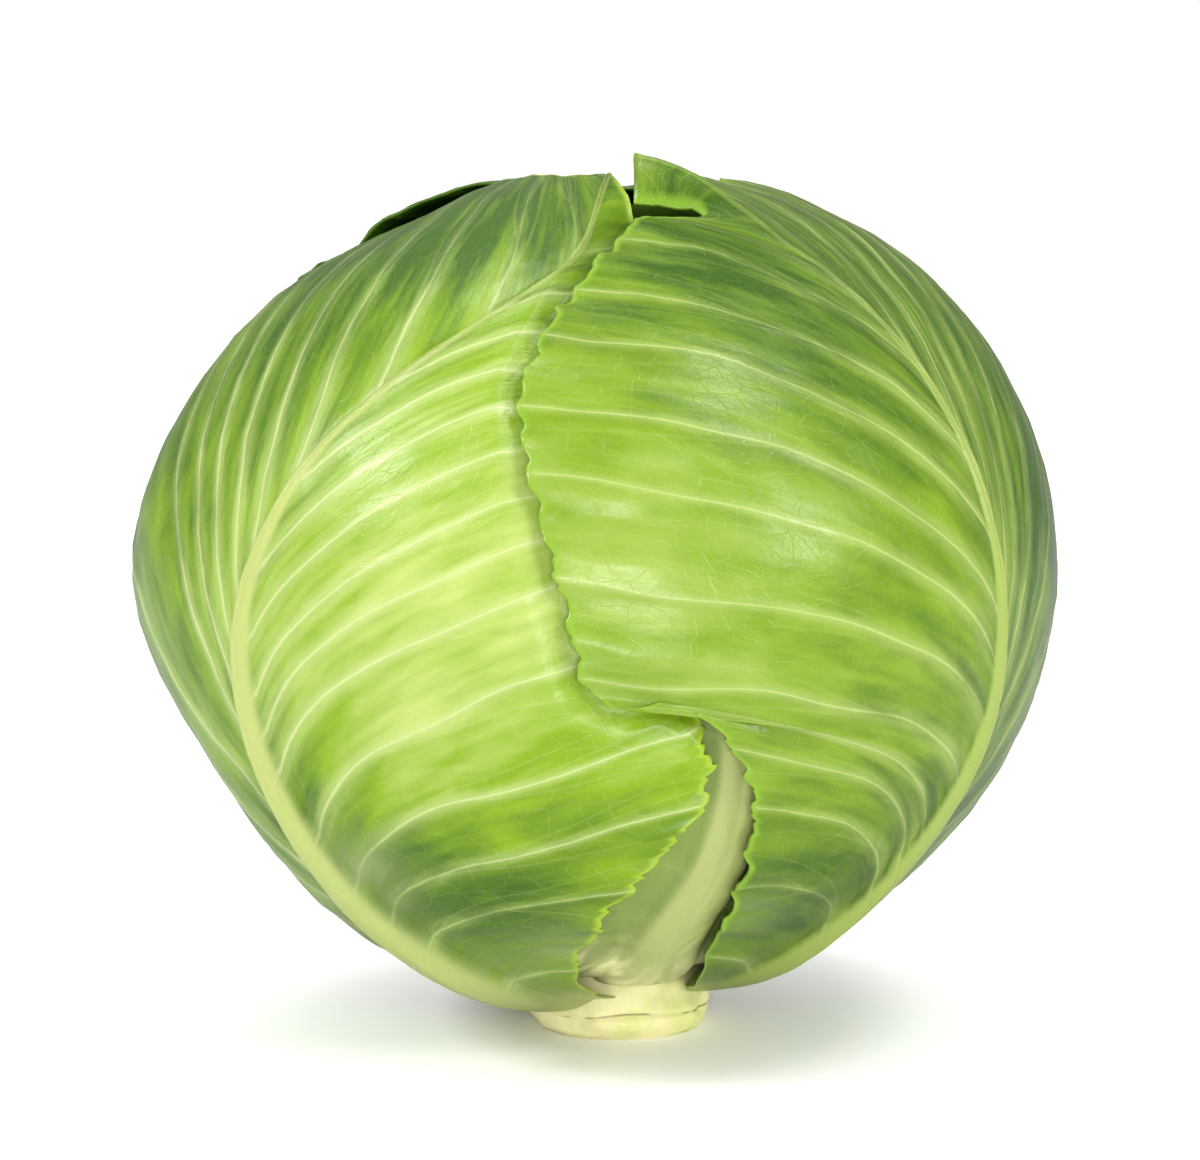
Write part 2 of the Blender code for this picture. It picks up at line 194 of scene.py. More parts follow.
def direction(longitude, latitude):
    """The unit vector from the head's centre to a longitude and latitude in degrees."""
    lon, lat = np.radians(longitude), np.radians(latitude)
    return np.stack([np.sin(lon) * np.cos(lat), -np.cos(lon) * np.cos(lat), np.sin(lat)], axis=-1)


def ring_direction(longitude, radius=BASE_RING):
    """The unit vector to the underside of the head, this far from the stump's axis."""
    lon = math.radians(longitude)
    x = (radius * math.sin(lon) - HEAD_CENTRE[0]) / HEAD_RADIUS
    y = -radius * math.cos(lon) / HEAD_RADIUS
    return np.array([x, y, -math.sqrt(1 - x * x - y * y)])


def hill(directions, longitude, latitude, spread):
    """1 in one direction, falling off smoothly all round it."""
    off = np.degrees(np.arccos(np.clip(directions @ direction(longitude, latitude), -1, 1)))
    return np.exp(-((off / spread) ** 2))


def on_head(directions, height):
    """Points at a height above the head."""
    for longitude, latitude, spread, swell in HEAD_SWELLS:
        height = height + swell * MM * hill(directions, longitude, latitude, spread)
    return HEAD_CENTRE + directions * (HEAD_AXES + height[..., None])


def curve(points, p):
    """A smooth curve on the head through a leaf curve's points, read at each value of p."""
    base, *rest = points
    knots = np.array([0.0] + [point[0] for point in rest])
    values = np.vstack([ring_direction(base)] + [direction(lon, lat) for _, lon, lat in rest])
    slopes = np.gradient(values, axis=0) / np.gradient(knots)[:, None]
    i = np.clip(np.searchsorted(knots, p, side="right") - 1, 0, len(knots) - 2)
    span = (knots[i + 1] - knots[i])[..., None]
    t = (np.asarray(p) - knots[i])[..., None] / span
    start = (2 * t**3 - 3 * t**2 + 1) * values[i] + (t**3 - 2 * t**2 + t) * span * slopes[i]
    end = (3 * t**2 - 2 * t**3) * values[i + 1] + (t**3 - t**2) * span * slopes[i + 1]
    return unit(start + end)


def beside(points, directions, end=1.0):
    """Where along a curve each direction is nearest to it, how far off, and whether to its right."""
    along = np.linspace(0.0, end, CURVE_SAMPLES)
    line = curve(points, along)
    rightward = np.cross(np.gradient(line, axis=0), line)
    batches = np.array_split(directions, BATCHES)
    nearest = np.concatenate([(rows @ line.T).argmax(axis=-1) for rows in batches])
    offset = directions - line[nearest]
    to_right = np.sign((offset * rightward[nearest]).sum(axis=-1))
    return along[nearest], np.linalg.norm(offset, axis=-1) * HEAD_RADIUS, to_right


# %% [markdown]
# ## The four wrapper leaves as curves
# A leaf is drawn as three curves: its midrib, its left margin and its right margin. Each point gives p,
# the share of the way from the base to the tip, and then a longitude and a latitude. The side veins run
# from the midrib to the margin at equal p, so pairing the points of the curves also aims the veins.
#
# Further values for each leaf: "layer" is its height near the base and above; "lift" how far the tip
# stands up, the p where that starts, and its share at either margin; "flare" how far one margin stands
# off, and the values of p between which it comes and goes; "rib" the midrib's share of the full height,
# how narrow its crest is and how fast it tapers; "teeth" their depth, their pitch and the p where they
# end; "calm_from" the p where the margin's waves calm down; "smooth_until" the p below which the side
# veins fade; "under" the margins that lie over the leaf.

# %% Leaf curves
LEFT_SIDE_VEINS = (0.05, 0.11, 0.155, 0.20, 0.255, 0.32, 0.355, 0.39, 0.44, 0.50, 0.58, 0.68, 0.79, 0.9)
RIGHT_SIDE_VEINS = (0.05, 0.11, 0.17, 0.215, 0.255, 0.31, 0.365, 0.42, 0.465, 0.53, 0.60, 0.70, 0.81, 0.91)
BACK_SIDE_VEINS = (0.05, 0.11, 0.165, 0.22, 0.27, 0.32, 0.375, 0.44, 0.52, 0.61, 0.71, 0.81, 0.89, 0.95)
FRONT_SIDE_VEINS = (0.08, 0.2, 0.32, 0.44, 0.56, 0.7, 0.85)

LEFT_LEAF = {
    "midrib": (-45, (0.10, -33, -57), (0.22, -42, -39), (0.36, -47, -16), (0.48, -47.5, 3), (0.60, -42, 22),
               (0.71, -31, 37), (0.82, -16, 50), (0.91, -5, 60), (1.0, 5, 76)),
    "right": (-4, (0.045, -5, -57), (0.08, -1, -44), (0.12, 6, -32), (0.16, 13.5, -19), (0.205, 12, -8),
              (0.26, 9, 4), (0.32, 6, 13), (0.40, 3, 27), (0.49, 1, 37), (0.61, 4, 45), (0.76, 9, 54),
              (0.88, 14, 65), (1.0, 8, 75)),
    "left": (-96, (0.07, -112, -56), (0.135, -132, -28), (0.20, -145, 6), (0.26, -143, 32),
             (0.32, -138, 50), (0.40, -132, 63), (0.51, -122, 73), (0.72, -90, 81), (1.0, -8, 79.5)),
    "layer": (0.0, 0.0),
    "calm_from": 0.3,
    "flare": (2.8 * MM, "left", 0.42, 0.6, 0.9, 1.0),
    "lift": (5.0 * MM, 0.9, 0.7, 0.9),
    "rib": (1.15, 1.0, 2.4),
    "teeth": (1.5 * MM, 3.6 * MM, 0.3),
    "veins": LEFT_SIDE_VEINS,
}
RIGHT_LEAF = {
    "midrib": (68, (0.10, 51, -60), (0.22, 53.5, -41), (0.36, 58, -16), (0.48, 58, 2), (0.60, 57, 21),
               (0.71, 55.5, 36), (0.80, 53, 47), (0.88, 49.5, 57), (0.94, 42, 67), (1.0, 18.5, 77.6)),
    "left": (47, (0.05, 22, -52), (0.11, 21, -36), (0.17, 20, -21), (0.21, 17, -13.5), (0.235, 12.5, -7.7),
             (0.255, 8.5, -5.7), (0.27, 5.2, -5.7), (0.284, 2.2, -6.3), (0.298, -0.6, -4.8),
             (0.316, -2.4, -0.8), (0.345, -3.7, 6), (0.38, -6, 14), (0.43, -9.5, 26), (0.48, -11.5, 36),
             (0.55, -8, 47), (0.63, -2, 56), (0.70, 5.5, 63.5), (0.76, 13, 68.5),
             (0.83, 20, 68.6), (0.89, 28, 67.6), (0.925, 33.5, 66.8), (0.945, 33, 68.3), (0.965, 26, 69.6),
             (1.0, 13, 71.2)),
    "right": (122, (0.07, 112, -56), (0.135, 128, -28), (0.20, 138, 6), (0.26, 138, 32), (0.32, 134, 50),
              (0.40, 126, 62), (0.51, 116, 71), (0.72, 90, 78), (1.0, 36, 80)),
    "layer": (0.0, 0.0),
    "lift": (8.4 * MM, 0.87, 0.2, 0.6),
    "rib": (0.75, 1.5, 3.0),
    "teeth": (0.9 * MM, 4.2 * MM, 0.74),
    "veins": RIGHT_SIDE_VEINS,
}
FRONT_LEAF = {
    "midrib": (13, (0.20, 14.5, -51), (0.40, 18.7, -31), (0.58, 18.4, -13), (0.75, 12, 7), (1.0, 4, 30)),
    "left": (-30, (0.2, -16, -46), (0.4, -22, -18), (0.6, -22, 4), (0.8, -12, 22), (1.0, 0, 31)),
    "right": (50, (0.2, 38, -44), (0.4, 46, -18), (0.6, 42, 6), (0.8, 25, 24), (1.0, 8, 31)),
    "layer": (-4.8 * MM, -5.2 * MM),
    "lift": (0.0, 0.9, 1.0, 1.0),
    "rib": (0.8, 0.5, 0.75),
    "teeth": (0.8 * MM, 4.2 * MM, 1.0),
    "veins": FRONT_SIDE_VEINS,
    "smooth_until": 0.6,
}
BACK_LEAF = {
    "midrib": (180, (0.15, 180, -57), (0.32, 180, -30), (0.50, 180, 0), (0.68, 180, 30), (0.85, 180, 60),
               (1.0, 180, 81)),
    "left": (132, (0.1, 128, -52), (0.2, 122, -22), (0.33, 118, 10), (0.48, 114, 34), (0.62, 112, 52),
             (0.78, 120, 67), (1.0, 160, 81)),
    "right": (-132, (0.1, -128, -52), (0.2, -122, -22), (0.33, -117, 10), (0.48, -112, 34), (0.62, -106, 53),
              (0.76, -112, 66), (0.88, -128, 75), (1.0, -160, 81)),
    "layer": (0.0, 0.0),
    "lift": (-3.0 * MM, 0.82, 1.0, 1.0),
    "rib": (1.0, 1.5, 2.0),
    "teeth": (0.9 * MM, 5.2 * MM, 1.0),
    "veins": BACK_SIDE_VEINS,
    "flare": (3.6 * MM, "right", 0.62, 0.75, 0.83, 0.96),
}
LEFT_LEAF["under"] = ((RIGHT_LEAF, "left", 0.76), (BACK_LEAF, "right", 1.0))
RIGHT_LEAF["under"] = ((BACK_LEAF, "left", 1.0),)

# %% [markdown]
# ## Rows along the side veins
# The half of a leaf between midrib and margin is filled with rows that set off along the midrib and bend
# out to the margin, which is how cabbage veins run. The rows are drawn about a millimetre apart at the
# margin, fine enough for its teeth. Across the leaf the columns crowd towards the midrib and the margin.

# %% Rows and columns of a leaf
BLADE = 1.0 * MM
BASE_THICKENING = 2.5 * MM
OVERLAP_DIP = 2.6 * MM
OVERLAP_FROM = -6.0 * MM
OVERLAP_TO = -0.8 * MM
RIB_NEAR_BASE = (6.0 * MM, 10.5 * MM)
RIB_NEAR_TIP = (0.4 * MM, 0.9 * MM)
ROUND_STUMP_UNTIL = 0.14
VEIN_AHEAD = 0.17
VEIN_PULL = 0.16
ROW_GAP = 1.15 * MM
FEWEST_ROWS = 8


def leaf_half(leaf, side, p, q):
    """Directions of one half's grid points. A row sets off along the midrib and bends to the margin."""
    midrib = curve(leaf["midrib"], p)
    margin = curve(leaf[side], p)
    ahead = curve(leaf["midrib"], p + VEIN_AHEAD * (1 - p))
    bend = unit((1 - VEIN_PULL) * ahead + VEIN_PULL * margin)
    # The first rows go round the stump instead
    ends = leaf["midrib"][0], leaf[side][0]
    turned = math.radians(abs(ends[1] - ends[0]) / 2)
    tangents_meet = ring_direction(sum(ends) / 2, BASE_RING / math.cos(turned))
    halfway = (midrib + margin) / 2
    on_ring = 1 - smooth(0.0, ROUND_STUMP_UNTIL, p)[:, None]
    bend = unit(on_ring * (tangents_meet + halfway - halfway[0]) + (1 - on_ring) * bend)
    q = q[..., None]
    return unit((1 - q) ** 2 * midrib[:, None] + 2 * q * (1 - q) * bend[:, None] + q**2 * margin[:, None])


def leaf_rows(leaf):
    """Each row's p, and its vein number: whole on a vein, with a fraction between two."""
    stops = (0.0, *leaf["veins"], 1.0)
    p, vein = [], []
    for number, (a, b) in enumerate(zip(stops, stops[1:])):
        fine = np.linspace(a, b, 20)
        flat = np.zeros(len(fine))
        lengths = [np.linalg.norm(np.diff(on_head(curve(leaf[side], fine), flat), axis=0), axis=1).sum()
                   for side in ("left", "right")]
        steps = np.arange(max(FEWEST_ROWS, math.ceil(max(lengths) / ROW_GAP)))
        p.extend(a + (b - a) * steps / len(steps))
        vein.extend(number + steps / len(steps))
    return np.array(p + [1.0]), np.array(vein + [float(len(stops) - 1)])


def leaf_columns(count):
    """q of each column, from the midrib (0) to the margin (1)."""
    q = np.linspace(0.0, 1.0, 400)
    crowding = 1.0 + 2.0 * np.exp(-((q / 0.12) ** 2)) + 3.2 * np.exp(-(((1 - q) / 0.07) ** 2))
    share = np.concatenate([[0.0], np.cumsum((crowding[1:] + crowding[:-1]) / 2)])
    return np.interp(np.linspace(0.0, 1.0, count + 1), share / share[-1], q)


def rib_profile(leaf, directions):
    """The midrib: its height over the blade, and 1 on its centre line falling to 0 at its side."""
    along, distance, _ = beside(leaf["midrib"], directions)
    share, crest, taper = leaf["rib"]
    height = RIB_NEAR_TIP[0] + (RIB_NEAR_BASE[0] - RIB_NEAR_TIP[0]) * (1 - along) ** 2
    width = RIB_NEAR_TIP[1] + (RIB_NEAR_BASE[1] - RIB_NEAR_TIP[1]) * (1 - along) ** taper
    clear_of_stump = 0.5 + 0.5 * smooth(0.0, ROUND_STUMP_UNTIL, along)
    rise = share * clear_of_stump * height * np.clip(1 - (distance / width) ** 2, 0.0, 1.0) ** crest
    return rise, np.clip(1 - distance / width, 0.0, 1.0)


def inside(leaf, side, directions, end=1.0):
    """How far a direction lies inside one margin of a leaf, negative outside it."""
    _, distance, to_right = beside(leaf[side], directions, end)
    return distance * to_right * (1 if side == "left" else -1)


def under_others(leaf, directions):
    """How much of its dip a leaf has, from 0 in the open to 1 under the margin of the leaf over it."""
    covered = np.zeros(directions.shape[:-1])
    for other, side, end in leaf.get("under", ()):
        covered = np.maximum(covered, smooth(OVERLAP_FROM, OVERLAP_TO, inside(other, side, directions, end)))
    return covered


# %% [markdown]
# ## Veins that fork
# A side vein forks on its way out, and the twigs run on between the main veins to the margin. The twig is
# worked out from the vein number and the distance across, so the same rule can raise it on the mesh here
# and paint it in the shader later. Steps by the fraction of an irrational number, such as the golden
# ratio, stand in for chance there, and give the same twigs every time.

# %% Veins and twigs
SIDE_VEIN = 0.6 * MM
SIDE_VEIN_MM_WIDE = 2.1
SIDE_VEIN_NARROWS_MM = 1.1
BLADE_SWELL = 0.5 * MM
TWIG = 0.09 * MM
TWIG_WIDTH = 1.1 * MM
TWIG_BEND = 0.8

# Step and start of the chance, where across the leaf twigs begin and over how much, and how far they reach
FORKS = ((0.618, 0.13, 0.26, 0.34, 0.42), (0.414, 0.57, 0.36, 0.36, -0.36), (0.732, 0.31, 0.6, 0.2, 0.2))


def vein_distance(vein, across, gap):
    """How far a place is from the nearest main vein and from the nearest twig."""
    whole = np.floor(vein)
    part = vein - whole
    main = np.minimum(part, 1 - part) * gap
    twig = np.full(vein.shape, 1.0)
    for step, first, start, spread, reach in FORKS:
        begins = start + spread * np.mod(whole * step + first, 1.0)
        t = np.clip((across - begins) / (1 - begins), 0.0, 1.0)
        away = reach * t**TWIG_BEND
        centre = away if reach > 0 else 1 + away
        twig = np.minimum(twig, np.where(across > begins, np.abs(part - centre) * gap, 1.0))
    return main, twig


def vein_relief(number, q, gap, step):
    """The side veins, their twigs, and the blade that swells between two veins."""
    main, twig = vein_distance(number, q, gap)
    width = (SIDE_VEIN_MM_WIDE - SIDE_VEIN_NARROWS_MM * np.clip(q, 0, 1)) * MM
    ridge = SIDE_VEIN * (1 - 0.72 * q) * np.exp(-((main / width) ** 2))
    twigs = TWIG * np.exp(-((twig / TWIG_WIDTH) ** 2)) * (1 - 0.5 * q)
    swell = BLADE_SWELL * np.sin(math.pi * step) * (1 - 0.5 * q)
    return ridge + twigs + swell


# %% [markdown]
# ## The sheet of a leaf
# The leaf's two faces are worked out as grids of points. The outer one carries all that can be felt: the
# midrib, the side veins and twigs, the blade that swells between them, small crinkles, and a margin that
# is scalloped, toothed and ruffled. The inner one is plain, and the blade thins out to its edge.
#
# The margin comes first: the line of its teeth, and then its ruffles and the puckers beside it.

# %% The margin of a leaf
SCALLOP = 0.5 * MM
TOOTH_DRIFTS = (11.0 * MM, 4.1 * MM)
RUFFLE = 0.7 * MM
RUFFLE_STEP = 1.27 * MM
RUFFLE_DRIFT = 9.0 * MM
RUFFLE_REACH = 9.0 * MM
PUCKER = 0.45 * MM
PUCKER_SIZE = 4.5 * MM
PUCKER_REACH = (6.0 * MM, 32.0 * MM)


def wander(points, size, seed):
    """Smooth noise from -1 to 1 at each point, with blobs of the given size."""
    flat = points.reshape(-1, 3) / size + seed
    values = [noise.noise(Vector(point)) for point in flat.tolist()]
    return np.array(values).reshape(points.shape[:-1])


def teeth(leaf, p, run, seed):
    """How far each place of a margin stands out: pointed teeth of uneven width and depth."""
    depth, pitch, end = leaf["teeth"]
    slow, quick = TOOTH_DRIFTS
    phase = run / pitch + 0.5 * np.sin(run / slow + seed) + 0.25 * np.sin(run / quick + 2 * seed)
    size = 0.6 + 0.4 * np.sin(2.4 * np.floor(phase) + 3 * seed)
    part = phase % 1.0
    tooth = np.minimum(part / 0.7, (1 - part) / 0.3) ** 0.8
    return depth * size * (tooth - 0.5) * (1 - 0.85 * smooth(end - 0.02, end + 0.06, p)[:, None])


def margin_relief(run, off_margin, lively, seed):
    """The ruffles of the margin, and the puckers of the blade beside it."""
    near_margin = 1 - smooth(0.0, RUFFLE_REACH, off_margin)
    ripple = np.sin(run / RUFFLE_STEP + 2 * np.sin(run / RUFFLE_DRIFT + seed))
    ruffle = RUFFLE * (0.2 + 0.8 * lively) * near_margin**2 * (0.5 + 0.5 * ripple)
    along = np.broadcast_to(run, off_margin.shape)
    from_edge = np.stack([along, 0.4 * off_margin, np.zeros(off_margin.shape)], axis=-1)
    pucker = PUCKER * wander(from_edge, PUCKER_SIZE, seed + 11) * (1 - smooth(*PUCKER_REACH, off_margin))
    return ruffle, pucker * lively


# %% [markdown]
# Next comes the height of the blade over the head. It sinks where another leaf lies over it, waves gently
# along its margin, and stands off where its tip or its margin is loose. All of it adds up to one half.

# %% One half of a leaf
MARGIN_WAVE = 0.7 * MM
MARGIN_WAVE_LENGTH = 19.0 * MM
CALM_FROM = 0.65
VEIN_WANDER = 0.13
VEIN_WANDER_SIZE = 0.26
CRINKLE = 0.3 * MM
CRINKLE_SIZE = 0.1
FINE_CRINKLE_SIZE = 0.045
EDGE_THICKNESS = 0.45 * MM
EDGE_THINS_OVER = 3.0 * MM


def blade_level(leaf, side, p, q, run, covered, lively):
    """How high the blade lies over the head, before its relief."""
    near_base, above = leaf["layer"]
    level = near_base + (above - near_base) * smooth(0.15, 0.5, p)[:, None]
    wave = np.sin(2 * math.pi * run / MARGIN_WAVE_LENGTH) * smooth(0.7, 1.0, q)
    wave = wave * (0.15 + 0.85 * lively) * smooth(0.02, 0.1, p)[:, None] * (1 - covered)
    level = level + MARGIN_WAVE * wave - OVERLAP_DIP * covered
    lift, starts, *shares = leaf["lift"]
    at_margin = shares[side == "right"]
    share = (1 - (1 - at_margin) * np.clip(q, 0, 1) ** 3) * (1 - covered)
    level = level + lift * smooth(starts, 1.0, p)[:, None] * share
    if leaf.get("flare", (0, ""))[1] == side:
        flare, _, *stops = leaf["flare"]
        near_top = smooth(*stops[:2], p) * (1 - smooth(*stops[2:], p))
        level = level + flare * smooth(0.5, 1.0, q) * near_top[:, None]
    return level


def leaf_side(leaf, side, p, vein, columns, seed):
    """One half of a leaf: outer and inner face, and what is painted on it, as rows by columns."""
    q = np.tile(columns, (len(p), 1))
    margin = curve(leaf[side], p)
    reach = (np.linalg.norm(margin - curve(leaf["midrib"], p), axis=-1) * HEAD_RADIUS)[:, None]
    edge_line = on_head(margin, np.zeros(len(p)))
    run = np.concatenate([[0.0], np.linalg.norm(np.diff(edge_line, axis=0), axis=1).cumsum()])[:, None]
    step = vein[:, None] % 1.0
    body = smooth(0.02, 0.1, p)[:, None]
    off_margin = (1 - q) * reach
    calm_from = leaf.get("calm_from", CALM_FROM)
    lively = 1 - smooth(calm_from, calm_from + 0.1, p)[:, None]
    scallops = SCALLOP * np.cos(4 * math.pi * step) * lively
    ragged = scallops + teeth(leaf, p, run, seed) * body
    q = q + ragged / reach * smooth(0.84, 1.0, q)
    ways = leaf_half(leaf, side, p, q)

    covered = under_others(leaf, ways) * (1 - smooth(0.95, 1.0, p)[:, None])
    level = blade_level(leaf, side, p, q, run, covered, lively)
    flat = on_head(ways, level)
    along_row, along_rib = np.gradient(flat, axis=1), np.gradient(flat, axis=0)
    vein_step = np.gradient(vein)[:, None, None]
    gap = np.linalg.norm(np.cross(along_rib / vein_step, unit(along_row)), axis=-1)
    number = vein[:, None] + VEIN_WANDER * wander(ways, VEIN_WANDER_SIZE, seed) * smooth(0.1, 0.5, q)
    fade = smooth(0.0, 0.12, q) * body * (1 - 0.5 * covered)
    if "smooth_until" in leaf:
        fade = fade * smooth(0.0, leaf["smooth_until"], p)[:, None] ** 2
    crinkles = wander(ways, CRINKLE_SIZE, seed + 7) + 0.5 * wander(ways, FINE_CRINKLE_SIZE, seed + 3)
    crinkle = CRINKLE * crinkles * (1 - covered)
    rib, on_rib = rib_profile(leaf, ways)
    relief = vein_relief(number, q, gap, step) * fade + crinkle * body * (1 - smooth(0.0, 2 * MM, rib))
    ruffle, pucker = margin_relief(run, off_margin, lively, seed)
    relief = relief + (ruffle + pucker) * body * (1 - covered)

    foot = (1 - smooth(0.0, 0.12, p)[:, None]) * smooth(0.5 * MM, 3.0 * MM, rib)
    thinning = (BLADE - EDGE_THICKNESS) * (1 - smooth(0.0, EDGE_THINS_OVER, off_margin))
    thick = BLADE + BASE_THICKENING * foot - thinning
    base_ridge = ruffle * body * (1 - covered)
    outer = on_head(ways, level + relief + rib)
    inner = on_head(ways, level - thick + base_ridge)
    row_steps = np.linalg.norm(np.diff(flat, axis=1), axis=-1)
    row_run = np.concatenate([np.zeros((len(p), 1)), row_steps.cumsum(axis=1)], axis=1)
    rib_run = np.linalg.norm(np.diff(flat[:, 0], axis=0), axis=1).cumsum()
    rib_run = np.tile(np.concatenate([[0.0], rib_run])[:, None], (1, q.shape[1]))
    return {
        "outer": outer, "inner": inner, "ways": ways, "q": q, "rib_run": rib_run,
        "row_run": row_run * (1 if side == "right" else -1), "vein": number, "across": np.clip(q, 0, 1),
        "gap_mm": gap / MM, "rib": on_rib, "edge_mm": off_margin / MM,
        "along": np.tile(p[:, None], (1, q.shape[1])),
    }


def whole_leaf(leaf, quads, seed):
    """Both halves joined, from the left margin to the right one."""
    p, vein = leaf_rows(leaf)
    columns = leaf_columns(int(quads / (len(p) - 1) / 2))
    left = leaf_side(leaf, "left", p, vein, columns, seed)
    right = leaf_side(leaf, "right", p, vein, columns, seed + 1.7)
    return {key: np.concatenate([left[key][:, :0:-1], right[key]], axis=1) for key in left}


# %% [markdown]
# ## From a flat grid to a leaf
# Blender adds a flat grid with as many cells as the leaf has rows and columns, and each of its vertices is
# then moved to its place. A Solidify modifier gives the sheet its inner face and its rim. Once applied,
# the second half of the vertices is the inner face, and it is laid on the plain inner surface, so that
# the midrib is solid right through. The painted values ride on the vertices as attributes.

# %% Make a leaf
PAINTED = ("vein", "across", "gap_mm", "rib", "edge_mm", "along")
SHEET_UNIT = 0.1


def store(mesh, name, values):
    """A number for each vertex, which a material reads by its name."""
    attribute = mesh.attributes.new(name, "FLOAT", "POINT")
    attribute.data.foreach_set("value", np.asarray(values, np.float32).ravel())


def patches(directions, level, *spots):
    """A painted value: a level, plus soft round spots of (longitude, latitude, spread, amount)."""
    value = np.full(directions.shape[:-1], float(level))
    for longitude, latitude, spread, amount in spots:
        value = value + amount * hill(directions, longitude, latitude, spread)
    return value


def make_leaf(name, leaf, quads, seed, shades, blooms):
    """A fine leaf as an object, with its veins, shades and bloom painted on its vertices, the shades partly
    painted light and shade.
    """
    grid = whole_leaf(leaf, quads, seed)
    rows, columns = grid["q"].shape
    bpy.ops.object.select_all(action="DESELECT")
    bpy.ops.mesh.primitive_grid_add(x_subdivisions=columns - 1, y_subdivisions=rows - 1, size=2.0)
    sheet = bpy.context.object
    sheet.name = name + "_fine"
    mesh = sheet.data
    flat = np.empty(len(mesh.vertices) * 3, np.float32)
    mesh.vertices.foreach_get("co", flat)
    flat = flat.reshape(-1, 3)
    column = np.rint((flat[:, 0] + 1) / 2 * (columns - 1)).astype(int)
    row = np.rint((flat[:, 1] + 1) / 2 * (rows - 1)).astype(int)
    mesh.vertices.foreach_set("co", grid["outer"][row, column].astype(np.float32).ravel())
    corners = np.empty(len(mesh.loops), np.int32)
    mesh.loops.foreach_get("vertex_index", corners)
    # The grain follows the side veins, but on the smooth foot of the front leaf it follows the midrib
    runs = ("rib_run", "row_run") if "smooth_until" in leaf else ("row_run", "rib_run")
    spread = np.stack([grid[run] for run in runs], axis=-1)[row, column] / SHEET_UNIT
    mesh.uv_layers[0].data.foreach_set("uv", spread[corners].astype(np.float32).ravel())
    mesh.uv_layers[0].name = "sheet"

    solid = sheet.modifiers.new("thickness", "SOLIDIFY")
    solid.thickness = BLADE
    solid.offset = -1.0
    bpy.ops.object.modifier_apply(modifier=solid.name)
    points = np.concatenate([grid["outer"][row, column], grid["inner"][row, column]])
    mesh.vertices.foreach_set("co", points.astype(np.float32).ravel())
    mesh.update()
    for key in PAINTED:
        store(mesh, key, np.tile(grid[key][row, column], 2))
    ways = grid["ways"][row, column]
    store(mesh, "shade", np.tile(patches(ways, *shades), 2))
    store(mesh, "bloom", np.tile(patches(ways, *blooms), 2))
    mesh.shade_smooth()
    length = grid["rib_run"].max() / MM
    width = np.ptp(grid["row_run"], axis=1).max() / MM
    print(f"{name}: {rows} rows, {columns} columns, {2 * len(mesh.polygons)} triangles,")
    print(f"    {length:.0f} mm long and {width:.0f} mm wide laid flat")
    return sheet


# %% [markdown]
# ## Shader tools
# Node trees are long to write out by hand, so small helpers make a node, do one sum, take a soft step,
# mix two colours and read a painted value. Masks and colours that all the leaves share are built as node
# groups, with named inputs.

# %% Shader helpers
def node(tree, kind, inputs=None, **settings):
    """Adds a node. Each input is a value, or the output socket that feeds it."""
    made = tree.nodes.new(kind)
    for key, value in settings.items():
        setattr(made, key, value)
    for key, value in (inputs or {}).items():
        if isinstance(value, bpy.types.NodeSocket):
            tree.links.new(value, made.inputs[key])
        else:
            made.inputs[key].default_value = value
    return made


def calc(tree, operation, *values, clamp=False):
    """One Math node."""
    inputs = dict(enumerate(values))
    return node(tree, "ShaderNodeMath", inputs, operation=operation, use_clamp=clamp).outputs[0]


def step_between(tree, value, low, high, start=0.0, end=1.0):
    """A smooth step: start where value is low, end where it is high."""
    inputs = {"Value": value, "From Min": low, "From Max": high, "To Min": start, "To Max": end}
    return node(tree, "ShaderNodeMapRange", inputs, interpolation_type="SMOOTHSTEP").outputs["Result"]


def blend(tree, share, first, second):
    """Mixes two colours. The Mix node has its colour sockets at 6 and 7, and gives the mix at 2."""
    inputs = {0: share, 6: first, 7: second}
    return node(tree, "ShaderNodeMix", inputs, data_type="RGBA").outputs[2]


def painted(tree, name):
    """A value that rides on the mesh."""
    return node(tree, "ShaderNodeAttribute", attribute_name=name).outputs["Fac"]


def new_group(name, inputs, outputs):
    """An empty node group. Inputs are {name: value or colour}, and outputs {name: kind}."""
    group = bpy.data.node_groups.new(name, "ShaderNodeTree")
    for key, value in inputs.items():
        parts = len(value) if isinstance(value, tuple) else 1
        kind = {4: "NodeSocketColor", 3: "NodeSocketVector"}.get(parts, "NodeSocketFloat")
        socket = group.interface.new_socket(name=key, in_out="INPUT", socket_type=kind)
        socket.default_value = value
    for key, kind in outputs.items():
        group.interface.new_socket(name=key, in_out="OUTPUT", socket_type=kind)
    return group, group.nodes.new("NodeGroupInput").outputs, group.nodes.new("NodeGroupOutput").inputs


def use_group(tree, group, inputs):
    """Places a group in a material, and gives its outputs."""
    return node(tree, "ShaderNodeGroup", inputs, node_tree=group).outputs


# %% [markdown]
# ## Painting the veins
# Seen close, a main vein is a thin bright line in a wide pale halo, because the flesh beside it is thick
# and has little green. A texture would blur such lines, so the shader works them out from the vein number
# and the gap to the next vein, both painted on the mesh. They stay sharp at any distance.

